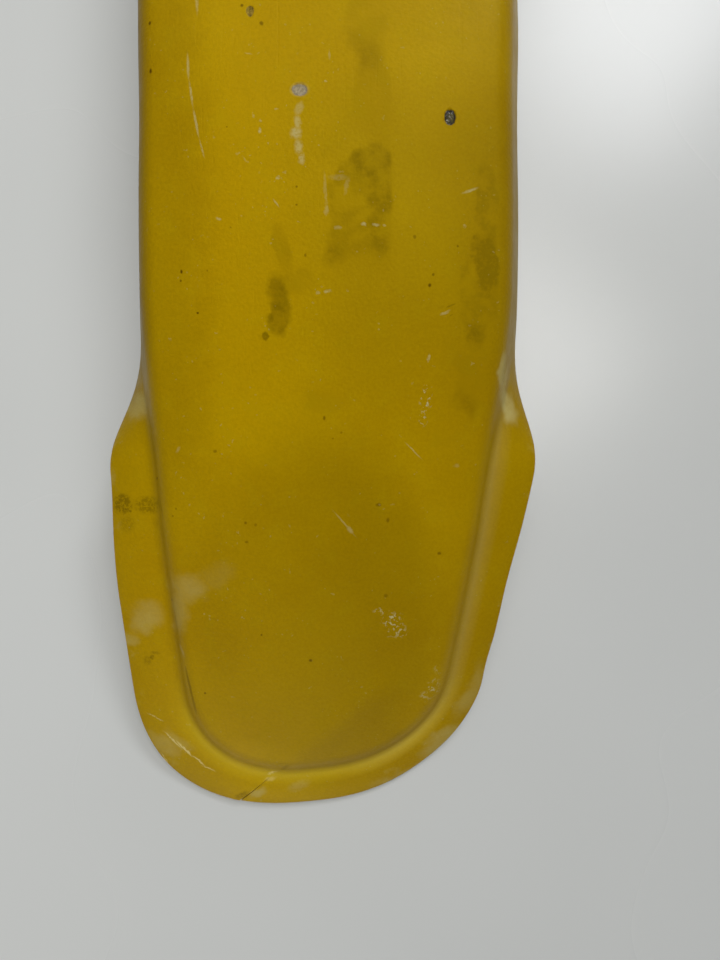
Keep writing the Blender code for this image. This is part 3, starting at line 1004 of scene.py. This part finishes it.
DOTS = (
    (-59.9, -65.0, 0.7, 0.9, 0.9),
    (-59.8, -81.0, 0.7, 1.1, 1.0),
    (-49.7, -148.9, 0.65, 0.9, 1.0),
    (-50.0, -151.9, 0.55, 0.6, 0.8),
    (-44.1, -163.0, 0.6, 0.6, 1.0),
    (-40.6, -148.8, 0.4, 0.5, 0.5),
    (-33.2, -101.2, 0.45, 0.4, 0.6),
    (-32.2, -134.7, 0.5, 0.4, 0.5),
    (-9.5, -121.7, 0.6, 0.5, 0.7),
    (-9.6, -127.7, 0.5, 0.5, 0.7),
    (-6.7, -144.6, 0.6, 0.9, 0.6),
    (36.0, -154.0, 0.8, 0.9, 1.0),
    (37.2, -150.4, 0.6, 0.7, 0.7),
    (30.7, -138.0, 0.8, 0.9, 0.6),
    (45.6, -140.5, 0.5, 0.6, 0.7),
    (-39.3, -210.1, 1.0, 0.8, 0.5),
    (-29.1, -235.4, 0.8, 0.8, 0.6),
    (-25.5, -236.2, 0.8, 0.8, 0.4),
    (-29.0, -242.3, 1.0, 0.7, 0.5),
    (-24.7, -276.9, 0.6, 0.6, 0.7),
    (-6.5, -286.8, 0.9, 0.8, 0.8),
    (-47.7, -300.7, 0.7, 0.7, 0.7),
    (-56.0, -232.9, 0.5, 0.5, 0.6),
    (-54.6, -230.3, 0.5, 0.6, 0.5),
    (-62.3, -219.0, 0.5, 0.7, 0.8),
    (-59.3, -264.3, 0.5, 0.8, 0.8),
    (-0.5, -199.0, 0.6, 1.0, 0.7),
    (5.5, -204.0, 0.6, 0.6, 0.5),
    (2.5, -206.0, 0.5, 0.5, 0.5),
    (18.6, -229.0, 1.5, 0.9, 0.6),
    (22.0, -234.5, 0.8, 1.2, 0.6),
    (41.0, -246.5, 1.1, 0.8, 0.7),
    (21.5, -262.0, 1.0, 1.0, 0.5),
    (-21.5, -66.2, 1.0, 1.1, 0.7),
    (-28.2, -59.9, 0.9, 0.8, 0.8),
)
SCUFFS = (
    (-8.6, -95.5, 1.9, 3.4, -25, 0.55),
    (-9.2, -100.0, 1.6, 3.0, 8, 0.80),
    (-9.7, -103.8, 2.6, 2.8, 0, 1.00),
    (-8.9, -108.5, 1.9, 3.4, 10, 0.85),
    (-7.7, -112.4, 1.5, 2.6, -8, 0.75),
    (-22.0, -102.7, 0.8, 1.3, 0, 0.95),
    (-21.8, -99.6, 0.7, 0.7, 0, 0.70),
    (-24.2, -97.6, 0.6, 0.8, 0, 0.50),
    (-15.8, -118.6, 1.0, 0.8, 0, 0.85),
    (-36.5, -131.7, 1.4, 0.6, -35, 0.75),
    (0.2, -122.5, 0.8, 7.5, 4, 0.30),
    (4.5, -118.6, 4.2, 1.3, 0, 0.28),
    (7.4, -121.5, 1.0, 4.0, -12, 0.28),
    (0.6, -129.5, 1.1, 2.2, 0, 0.50),
    (13.4, -134.1, 1.1, 0.8, 0, 0.90),
    (17.5, -134.3, 1.6, 0.7, 0, 0.80),
    (20.3, -134.4, 0.7, 0.6, 0, 0.50),
    (4.4, -135.2, 1.6, 0.9, 0, 0.45),
    (0.9, -156.5, 1.8, 0.8, 0, 0.75),
    (-2.4, -157.2, 1.1, 0.7, 0, 0.50),
    (1.6, -77.2, 0.5, 2.2, 0, 0.50),
    (0.3, -86.3, 0.7, 0.6, 0, 0.80),
    (-16.3, -95.6, 0.8, 0.6, 0, 0.60),
    (48.1, -133.6, 0.7, 0.9, 0, 0.80),
    (41.5, -163.0, 2.6, 0.7, 25, 0.65),
    (35.9, -178.4, 0.7, 1.6, -12, 0.80),
    (-52.9, -209.4, 1.6, 0.8, 45, 0.40),
    (46.5, -215.0, 1.4, 1.0, 0, 0.30),
    (-13.0, -342.2, 6.5, 3.0, 24, 0.30),
)
SPECKLED = (
    (35.0, -192.5, 2.6, 6.5, -6, 0.95),
    (34.2, -199.0, 2.2, 3.6, 0, 0.55),
    (24.0, -271.5, 4.8, 4.6, 0, 1.00),
    (25.5, -275.0, 5.5, 4.2, -25, 0.70),
    (19.5, -268.0, 3.6, 2.2, 0, 0.50),
    (40.6, -299.0, 3.8, 4.8, 0, 0.85),
    (37.6, -302.5, 3.2, 3.0, 0, 0.60),
    (42.0, -291.5, 2.2, 3.0, 0, 0.45),
)
# pale patches, partly painted sheen where broad reflections of the light lie and partly real haze and
# abrasion
HAZE_AND_SHEEN_SPOTS = (
    (-52.0, -260.0, 8.8, 9.0, 15, 0.34),
    (-55.5, -268.3, 5.2, 9.9, 0, 0.30),
    (-41.1, -254.4, 9.5, 6.0, 15, 0.10),
    (-71.2, -272.1, 10.1, 7.2, 4, 0.36),
    (-78.9, -279.8, 6.3, 4.1, 0, 0.34),
    (-70.1, -191.9, 6.2, 7.2, -20, 0.55),
    (67.4, -191.9, 5.5, 9.3, 18, 0.80),
    (64.6, -183.3, 2.9, 9.2, 0, 0.60),
    (-68.3, -325.0, 10.7, 6.5, -20, 0.34),
    (-61.8, -321.8, 9.0, 3.7, -38, 0.30),
    (44.9, -324.1, 14.0, 5.5, 45, 0.42),
    (56.1, -301.9, 4.8, 14.7, -20, 0.28),
    (28.8, -339.0, 16.8, 3.9, 18, 0.30),
    (-13.6, -352.8, 21.3, 2.0, 0, 0.25),
    (-29.4, -345.3, 5.5, 3.5, 20, 0.55),
)
# scratches: (start, end, half-width, strength) in millimetres
PALE_SCRATCHES = (
    ((-43.7, -52.0), (-43.4, -63.4), 0.75, 0.60),
    ((-46.8, -75.5), (-46.3, -85.5), 0.60, 0.70),
    ((-46.2, -85.0), (-44.9, -94.5), 0.55, 0.85),
    ((-45.0, -94.0), (-42.9, -104.8), 0.60, 0.85),
    ((-43.0, -104.4), (-41.0, -111.5), 0.45, 0.60),
    ((46.9, -122.8), (52.8, -120.4), 0.65, 0.80),
    ((-17.6, -125.6), (-15.4, -128.6), 0.40, 0.70),
    ((27.2, -206.5), (34.6, -213.5), 0.35, 0.60),
    ((1.5, -230.0), (11.5, -241.5), 0.45, 0.45),
    ((7.8, -237.2), (9.0, -238.6), 1.10, 0.60),
    ((-57.5, -281.0), (-55.0, -287.0), 0.70, 0.50),
    ((-27.3, -76.4), (-24.5, -77.0), 0.35, 0.50),
)
DARK_SCRATCHES = (
    ((40.9, -161.6), (46.2, -159.3), 0.50, 0.90),
    ((42.8, -164.0), (44.4, -163.2), 0.45, 0.80),
    ((-61.6, -224.0), (-60.2, -236.0), 0.40, 0.60),
    ((-59.2, -262.0), (-57.2, -281.0), 0.45, 0.45),
    ((-56.0, -286.0), (-51.5, -312.0), 0.80, 0.75),
    ((-53.6, -300.0), (-51.8, -311.0), 0.90, 0.60),
    ((9.0, -238.6), (12.5, -242.6), 0.45, 0.60),
    ((-12.0, -330.5), (-24.0, -330.0), 0.50, 0.45),
    ((-16.5, -331.0), (-19.5, -334.0), 1.60, 0.50),
)
STRESS_STREAKS = (
    ((-67.5, -318.5), (-59.5, -327.5), 0.50, 0.70),
    ((-62.5, -322.5), (-55.6, -330.5), 0.65, 0.80),
    ((-56.6, -329.0), (-50.5, -334.0), 0.50, 0.70),
    ((-53.0, -333.2), (-46.5, -336.2), 0.45, 0.55),
    ((-74.5, -311.0), (-66.5, -315.0), 0.45, 0.35),
    ((-69.8, -328.0), (-66.4, -334.5), 0.50, 0.45),
    ((-25.6, -337.0), (-21.8, -335.2), 0.80, 0.85),
    ((-26.5, -339.5), (-22.8, -338.8), 1.40, 0.40),
)


# The moulding's faces have one of several outer materials, by their place along it. All are the
# same plastic, but each holds only the marks within its zone, which makes it quick to render.
ZONE_EDGES = (-0.055, -0.100, -0.150, -0.205, -0.262, -0.315)
ZONE_OVERLAP = 0.007


def zone_of(y):
    return sum(y < edge for edge in ZONE_EDGES)


def in_zone(zone, rows):
    """The elliptical marks that reach into a zone."""
    edges = (9.9, *ZONE_EDGES, -9.9)
    high = edges[zone] + ZONE_OVERLAP
    low = edges[zone + 1] - ZONE_OVERLAP
    found = []
    for row in rows:
        reach = max(row[2], row[3]) * MM
        if low - reach < row[1] * MM < high + reach:
            found.append(row)
    return found


def marks(paint, place, rows, union="MAXIMUM", core=0.3):
    """The elliptical marks of one kind as one share. They are worked out one after another,
    because the render engine can hold only some eighty of them at once."""
    total = 0.0
    for x, y, half_x, half_y, turn, strength in in_zone(paint.zone, rows):
        sizes = (half_x * MM, half_y * MM)
        shape = paint.spot(place, x * MM, y * MM, *sizes, turn, core, strength, total)
        total = paint.math(union, total, shape, clamp=union == "ADD")
    return total


def strokes(paint, place, rows):
    """The largest of the straight scratches of one kind."""
    ellipses = []
    for start, end, half_width, strength in rows:
        x = (start[0] + end[0]) / 2
        y = (start[1] + end[1]) / 2
        length = math.hypot(end[0] - start[0], end[1] - start[1]) / 2 + half_width
        turn = math.degrees(math.atan2(end[1] - start[1], end[0] - start[0]))
        ellipses.append((x, y, length, half_width, turn, strength))
    return marks(paint, place, ellipses)


def wandering(paint, shift, reach):
    """The place, moved about by up to reach, so that marks have uneven outlines."""
    return paint.vector("ADD", paint.place, paint.scaled(shift, 2 * reach))


def shifts(paint, size):
    """Three noises about zero, as one vector."""
    return paint.vector("SUBTRACT", paint.noise(size, 3.0, 0.62, output="Color"), (0.5, 0.5, 0.5))


def hairlines(paint, turn):
    """Fine scratches that run roughly one way: the thin crests of a long-drawn noise."""
    inputs = {
        "Vector": paint.place,
        "Rotation": (0.0, 0.0, math.radians(turn)),
        "Scale": (1.0, 0.035, 1.0),
    }
    drawn = paint.node("ShaderNodeMapping", inputs).outputs["Vector"]
    return paint.between(paint.noise(0.0016, 1.0, place=drawn), 0.66, 0.74)


def chip_share(paint, place, chip, grow=1.0):
    x, y = chip["at"]
    half_x, half_y = chip["half"]
    return paint.spot(place, x, y, half_x * grow, half_y * grow, core=0.82)


def outer_plastic(zone):
    """Aged yellow polypropylene with its grain, grime, scuffs and stress marks, and painted shade,
    highlight and reflections.
    """
    paint = Paint(f"shell_plastic_outer_{zone}")
    paint.zone = zone
    fine_shift = shifts(paint, 0.0020)
    wide_shift = shifts(paint, 0.0160)
    small = wandering(paint, fine_shift, 0.0003)
    near = wandering(paint, fine_shift, 0.0009)
    loose = paint.vector("ADD", near, paint.scaled(wide_shift, 0.0070))
    soft = wandering(paint, wide_shift, 0.0070)
    speck = paint.noise(0.0011, 3.0, 0.7)
    patch = paint.noise(0.0080, 4.0, 0.6)
    cloud = paint.noise(0.060, 4.0, 0.55)

    base = paint.blend(paint.between(cloud, 0.35, 0.65), YELLOW_DEEP, YELLOW)
    base = paint.blend(paint.between(patch, 0.45, 0.75, 0.0, 0.45), base, YELLOW_FADED)
    mottle = paint.between(speck, 0.30, 0.70, 0.93, 1.05)
    grey = paint.node("ShaderNodeCombineColor", {0: mottle, 1: mottle, 2: mottle})
    base = paint.blend(1.0, base, grey.outputs[0], "MULTIPLY")

    # a thin film of grime that gathers in patches, painted shade over parts of the crown and skirt, and
    # the smudges rubbed into the grain, with painted shade along the crown's right edge
    film = paint.times(paint.between(patch, 0.42, 0.72), paint.between(speck, 0.38, 0.62), 0.16)
    # painted shade: the crown grows darker towards its right, most from 110 to 155 mm to the rear, and a
    # little more at its right edge
    across, along = paint.plan(soft)
    forward = paint.between(along, -0.075, -0.110, 0.42, 1.0)
    rubbed_length = paint.math("MINIMUM", forward, paint.between(along, -0.215, -0.155, 0.5, 1.0))
    painted_shade = paint.times(paint.between(across, -0.036, 0.020, 0.0, 0.47), rubbed_length)
    painted_shade = paint.math("ADD", painted_shade, paint.between(across, 0.034, 0.062, 0.0, 0.16))
    # painted shade on the left shoulder, weaker towards the rear
    fading = paint.between(along, -0.260, -0.200, 0.3, 1.0)
    left = paint.between(across, -0.030, -0.054, 0.0, 0.36)
    painted_shade = paint.math("ADD", painted_shade, paint.times(left, fading))
    # painted shade on the left skirt, ahead of the flare
    small_x, small_y = paint.plan(small)
    beyond_fold = paint.between(small_x, -0.0585, -0.0655)
    skirt = paint.times(beyond_fold, paint.between(small_y, -0.190, -0.168), 0.34)
    painted_shade = paint.math("ADD", painted_shade, skirt)
    # painted shade over the lower crown near the rear tip
    tip_shade = paint.spot(soft, -0.004, -0.272, 0.056, 0.080, core=0.62, strength=0.30)
    painted_shade = paint.math("ADD", painted_shade, tip_shade, clamp=True)
    rubbed = paint.between(speck, 0.30, 0.62, 0.70, 1.00)
    near_x = paint.plan(near)[0]
    left_of_edge = paint.between(near_x, 0.0256, 0.0218)
    right_side = paint.between(near_x, 0.030, 0.034)
    # the large smudge has four straight sides and a corner cut off
    loose_x, loose_y = paint.plan(loose)
    corner = paint.math("SUBTRACT", loose_y, paint.math("MULTIPLY", loose_x, 1.135))
    block = paint.times(
        paint.between(loose_x, -0.0020, 0.0030),
        paint.between(loose_y, -0.1550, -0.1410),
        paint.between(loose_y, -0.1060, -0.1110),
        paint.between(corner, -0.1155, -0.1225),
        paint.between(loose_x, 0.0290, 0.0260),
        0.68,
    )
    smudge_and_shade = paint.math("ADD", marks(paint, loose, SMUDGES_AND_SHADE, "ADD", 0.5), block, clamp=True)
    uneven = paint.between(patch, 0.34, 0.60, 0.72, 1.10)
    smudge_and_shade = paint.times(smudge_and_shade, paint.math("MAXIMUM", left_of_edge, right_side), rubbed, uneven)
    flecked = paint.between(speck, 0.42, 0.56, 0.35, 1.0)
    flange = paint.times(marks(paint, near, FLANGE_SMUDGES), flecked)
    dot = marks(paint, small, [(*row[:4], 0, row[4]) for row in DOTS])
    stroke = strokes(paint, small, DARK_SCRATCHES)
    # painted shade in the crease where the wall meets the lip
    crease = paint.times(paint.attribute("crease"), paint.between(patch, 0.35, 0.65), 0.10)
    grime_and_shade = paint.most([film, smudge_and_shade, flange, crease, stroke])
    # one darker colour for grime and for painted shade
    grimed_and_shaded = paint.blend(1.0, base, GRIME_AND_SHADE, "MULTIPLY")
    worn = paint.blend(paint.math("MAXIMUM", grime_and_shade, painted_shade), base, grimed_and_shaded)
    worn = paint.blend(dot, worn, paint.blend(1.0, base, DOT_GRIME, "MULTIPLY"))

    # pale haze that is partly painted sheen, scuffs, speckled abrasion and stress whitening
    haze_and_sheen = paint.times(marks(paint, soft, HAZE_AND_SHEEN_SPOTS), paint.between(patch, 0.30, 0.62, 0.65, 1.0))
    worn = paint.blend(haze_and_sheen, worn, HAZE_AND_SHEEN)
    pitted = paint.between(paint.noise(0.0013, 2.0, 0.6), 0.54, 0.62)
    speckled = paint.times(marks(paint, near, SPECKLED), pitted)
    scattered = paint.times(
        paint.between(paint.noise(0.0014, 1.0, 0.5), 0.700, 0.735),
        paint.between(patch, 0.48, 0.60),
        0.24,
    )
    broken = paint.between(speck, 0.34, 0.50, 0.35, 1.0)
    scuff = paint.times(marks(paint, near, SCUFFS), broken, 0.75)
    scratch = paint.times(strokes(paint, small, PALE_SCRATCHES), broken, 0.75)
    rim_wear = paint.times(paint.attribute("rim"), paint.between(patch, 0.55, 0.68), 0.22)
    pale = paint.most([speckled, scattered, scuff, scratch, rim_wear])
    worn = paint.blend(pale, worn, SCUFF_AND_REFLECTION)
    streak = paint.times(strokes(paint, near, STRESS_STREAKS), broken)
    worn = paint.blend(streak, worn, STRESS)
    # a painted highlight along the fold round the tip, and a pale painted reflection along the fold on
    # the right
    fold = paint.attribute("crease")
    fold_highlight = paint.times(fold, paint.between(along, -0.290, -0.326), 0.38)
    worn = paint.blend(fold_highlight, worn, FOLD_HIGHLIGHT)
    # painted reflection: the fold on the right side is paler
    fold_reflection = paint.times(fold, paint.between(across, 0.0, 0.030), 0.20)
    worn = paint.blend(fold_reflection, worn, SCUFF_AND_REFLECTION)

    # the three chips: a pale rim round the first, then what is stuck in each pit
    small_chips = [chip_share(paint, small, chip) for chip in CHIPS]
    rims = [chip_share(paint, small, chip, 1.30) for chip in CHIPS]
    worn = paint.blend(paint.math("MULTIPLY", rims[0], 0.15), worn, SCUFF_AND_REFLECTION)
    stone = paint.between(paint.noise(0.0009, 3.0, 0.7), 0.35, 0.65)
    fills = (
        paint.blend(stone, (0.20, 0.165, 0.115), CHIP_GREY),
        paint.blend(paint.between(stone, 0.75, 1.0), CHIP_BLACK, (0.20, 0.20, 0.21)),
        paint.blend(stone, CHIP_BROWN, (0.30, 0.20, 0.03)),
    )
    for share, fill in zip(small_chips, fills):
        worn = paint.blend(share, worn, fill)

    gloss = paint.between(patch, 0.30, 0.70, 0.40, 0.49)
    gloss = paint.math("ADD", gloss, paint.math("MULTIPLY", grime_and_shade, 0.14))
    roughened = paint.math("MULTIPLY", paint.most([haze_and_sheen, pale]), 0.12)
    gloss = paint.math("ADD", gloss, roughened, clamp=True)
    pebbles = paint.noise(0.0012, 1.0, 0.5)
    waves = paint.math("MULTIPLY", hairlines(paint, 8.0), -0.25)
    normal = paint.bump(paint.math("ADD", pebbles, waves), 0.00014, 0.80)
    return paint.finish(
        Base_Color=worn,
        Roughness=gloss,
        Normal=normal,
        Specular_IOR_Level=0.26,
        Specular_Tint=YELLOW_SHEEN,
    )


def inner_plastic():
    """The same plastic on the wheel side: smoother, with dried splashes of mud and dust."""
    paint = Paint("shell_plastic_inner")
    patch = paint.noise(0.030, 5.0, 0.62)
    splash = paint.noise(0.0060, 4.0, 0.7)
    base = paint.blend(paint.between(patch, 0.3, 0.7), YELLOW_DEEP, YELLOW)
    dusty = paint.between(patch, 0.40, 0.72, 0.10, 0.60)
    worn = paint.blend(dusty, base, (0.33, 0.25, 0.10))
    mud = paint.times(paint.between(splash, 0.58, 0.66), paint.between(patch, 0.40, 0.62))
    worn = paint.blend(paint.math("MULTIPLY", mud, 0.85), worn, (0.12, 0.075, 0.028))
    rough = paint.between(mud, 0.0, 1.0, 0.52, 0.85)
    normal = paint.bump(mud, 0.00030, 0.6)
    normal = paint.bump(paint.noise(0.0012, 3.0, 0.6), 0.00005, 0.5, normal)
    return paint.finish(Base_Color=worn, Roughness=rough, Normal=normal, Specular_IOR_Level=0.25)


TURNING_SCALE = 9000.0  # how close together the marks of turning are


def plated_steel(name, light, dark, gloss, rust, turned=False):
    """Zinc-plated steel: a mottled plating, fine marks of making, and some rust."""
    paint = Paint(name)
    patch = paint.noise(0.0040, 5.0, 0.65)
    base = paint.blend(paint.between(paint.spangle(0.0020), 0.0, 1.0, 0.2, 0.8), dark, light)
    base = paint.blend(paint.between(patch, 0.45, 0.75, 0.0, 0.5), base, (0.62, 0.64, 0.66))
    rusty = paint.times(paint.between(patch, 0.60, 0.70), paint.noise(0.0010, 3.0, 0.7), rust)
    base = paint.blend(rusty, base, (0.17, 0.065, 0.022))
    if turned:
        x, y = paint.plan(paint.place)
        radius = paint.vector("LENGTH", paint.node("ShaderNodeCombineXYZ", {0: x, 1: y}).outputs[0])
        ringed = paint.node("ShaderNodeCombineXYZ", {0: radius}).outputs[0]
        inputs = {"Vector": ringed, "Scale": TURNING_SCALE}
        marks_of_making = paint.node("ShaderNodeTexNoise", inputs).outputs["Fac"]
    else:
        inputs = {"Vector": paint.place, "Scale": (1.0, 0.04, 1.0)}
        drawn = paint.node("ShaderNodeMapping", inputs).outputs["Vector"]
        marks_of_making = paint.noise(0.0004, 2.0, place=drawn)
    rough = paint.between(patch, 0.3, 0.7, gloss, gloss + 0.14)
    rough = paint.math("ADD", rough, paint.math("MULTIPLY", rusty, 0.4))
    normal = paint.bump(marks_of_making, 0.00002, 0.5)
    normal = paint.bump(patch, 0.00006, 0.5, normal)
    metal = paint.math("SUBTRACT", 1.0, paint.math("MULTIPLY", rusty, 0.8))
    return paint.finish(Base_Color=base, Roughness=rough, Metallic=metal, Normal=normal)


def black_rubber():
    """Moulded rubber with bloom on its surface and dust in its grain."""
    paint = Paint("grommet_rubber_worn")
    patch = paint.noise(0.0030, 4.0, 0.6)
    base = paint.blend(paint.between(patch, 0.35, 0.70), (0.018, 0.018, 0.019), (0.060, 0.057, 0.052))
    rough = paint.between(patch, 0.3, 0.7, 0.62, 0.82)
    normal = paint.bump(paint.noise(0.0005, 3.0, 0.65), 0.00005, 0.6)
    return paint.finish(Base_Color=base, Roughness=rough, Normal=normal, Specular_IOR_Level=0.35)


FLOOR_LOW = (0.568, 0.580, 0.566)
FLOOR_HIGH = (0.588, 0.600, 0.586)


def table_top():
    """Plain pale table with a slight sheen and faint mottling."""
    paint = Paint("table_top")
    cloud = paint.noise(0.15, 1.0, 0.5)
    base = paint.blend(paint.between(cloud, 0.3, 0.7), FLOOR_LOW, FLOOR_HIGH)
    rough = paint.between(cloud, 0.3, 0.7, 0.24, 0.29)
    normal = paint.bump(paint.noise(0.030, 2.0), 0.00006, 0.3)
    return paint.finish(Base_Color=base, Roughness=rough, Normal=normal, Specular_IOR_Level=0.45)


# ======================================================================
# Stage: floor, light and camera
# ======================================================================
FLOOR_HALF = 6.0
CAMERA_PLACE = (0.0120, -0.2381, 0.2333)
CAMERA_TILT = math.radians(4)
CAMERA_SENSOR = 36.0
CAMERA_LENS = 721 / 960 * CAMERA_SENSOR


def add_floor(level):
    def build(bm):
        plan = ((-1, -1), (1, -1), (1, 1), (-1, 1))
        corners = [bm.verts.new((x * FLOOR_HALF, y * FLOOR_HALF, level)) for x, y in plan]
        bm.faces.new(corners)

    floor = new_piece("floor", mesh_of("floor", build))
    floor.data.materials.append(table_top())
    floor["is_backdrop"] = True


def add_light(name, place, target, size, power, tint, spread=180.0):
    light = bpy.data.lights.new(name, "AREA")
    light.shape = "RECTANGLE"
    light.size, light.size_y = size
    light.energy = power
    light.color = tint
    light.spread = math.radians(spread)
    made = bpy.data.objects.new(name, light)
    made.location = place
    made.rotation_euler = (Vector(target) - Vector(place)).to_track_quat("-Z", "Y").to_euler()
    bpy.context.scene.collection.objects.link(made)


def add_lights():
    """A soft key aimed at the floor beside the part, a low fill and a small window behind."""
    beside = (-0.55, -0.20, -0.04)
    part = (0.0, -0.15, -0.04)
    add_light("key", (0.0, 0.28, 1.65), beside, (1.1, 1.1), 6.0, (1.0, 0.99, 0.97), 85.0)
    add_light("fill", (-0.25, -1.50, 0.42), part, (1.1, 0.7), 4.4, (1.0, 1.0, 1.0))
    add_light("window", (0.62, 0.95, 1.15), part, (0.5, 0.5), 10.0, (0.97, 0.98, 1.0))


def add_world():
    world = bpy.data.worlds.new("soft_room")
    bpy.context.scene.world = world
    world.use_nodes = True
    background = world.node_tree.nodes["Background"]
    background.inputs["Color"].default_value = (0.97, 0.985, 1.0, 1.0)
    background.inputs["Strength"].default_value = 0.14


def add_camera():
    camera = bpy.data.cameras.new("camera")
    camera.sensor_fit = "VERTICAL"
    camera.sensor_height = CAMERA_SENSOR
    camera.lens = CAMERA_LENS
    camera.clip_start = 0.01
    made = bpy.data.objects.new("camera", camera)
    made.location = CAMERA_PLACE
    made.rotation_euler = (CAMERA_TILT, 0.0, 0.0)
    bpy.context.scene.collection.objects.link(made)
    bpy.context.scene.camera = made


build_moulding([outer_plastic(zone) for zone in range(len(ZONE_EDGES) + 1)], inner_plastic())
build_plate(plated_steel("zinc_plate_worn", (0.60, 0.61, 0.62), (0.44, 0.45, 0.47), 0.34, 0.9))
add_fixings("grommet", grommet_mesh(), black_rubber(), "grommet_rubber", 0.7)
# (name, mesh, slot, turn of each), then (light tone, dark tone, gloss, rust, turned on a lathe)
STEEL_FIXINGS = (
    (
        ("collar", collar_mesh, "collar_steel", 1.1),
        ((0.64, 0.64, 0.65), (0.50, 0.50, 0.52), 0.30, 0.5, True),
    ),
    (
        ("mount_bolt", bolt_mesh, "bolt_steel", 0.5),
        ((0.56, 0.56, 0.57), (0.40, 0.40, 0.42), 0.28, 0.8, True),
    ),
    (
        ("plain_washer", plain_washer_mesh, "washer_steel", 0.9),
        ((0.62, 0.63, 0.64), (0.48, 0.48, 0.50), 0.30, 0.6, True),
    ),
    (
        ("spring_washer", spring_washer_mesh, "spring_steel", 1.7),
        ((0.42, 0.41, 0.40), (0.30, 0.29, 0.29), 0.32, 1.0, False),
    ),
)
for (name, mesh, slot_name, turn), look in STEEL_FIXINGS:
    add_fixings(name, mesh(), plated_steel(f"{slot_name}_worn", *look), slot_name, turn)
add_floor(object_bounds()[0].z)
add_world()
add_lights()
add_camera()
bpy.context.scene.view_settings.view_transform = "Standard"

sizes = {"cad": CAD_BOX, "visual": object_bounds()}
{name: [list(corner) for corner in box] for name, box in sizes.items()}
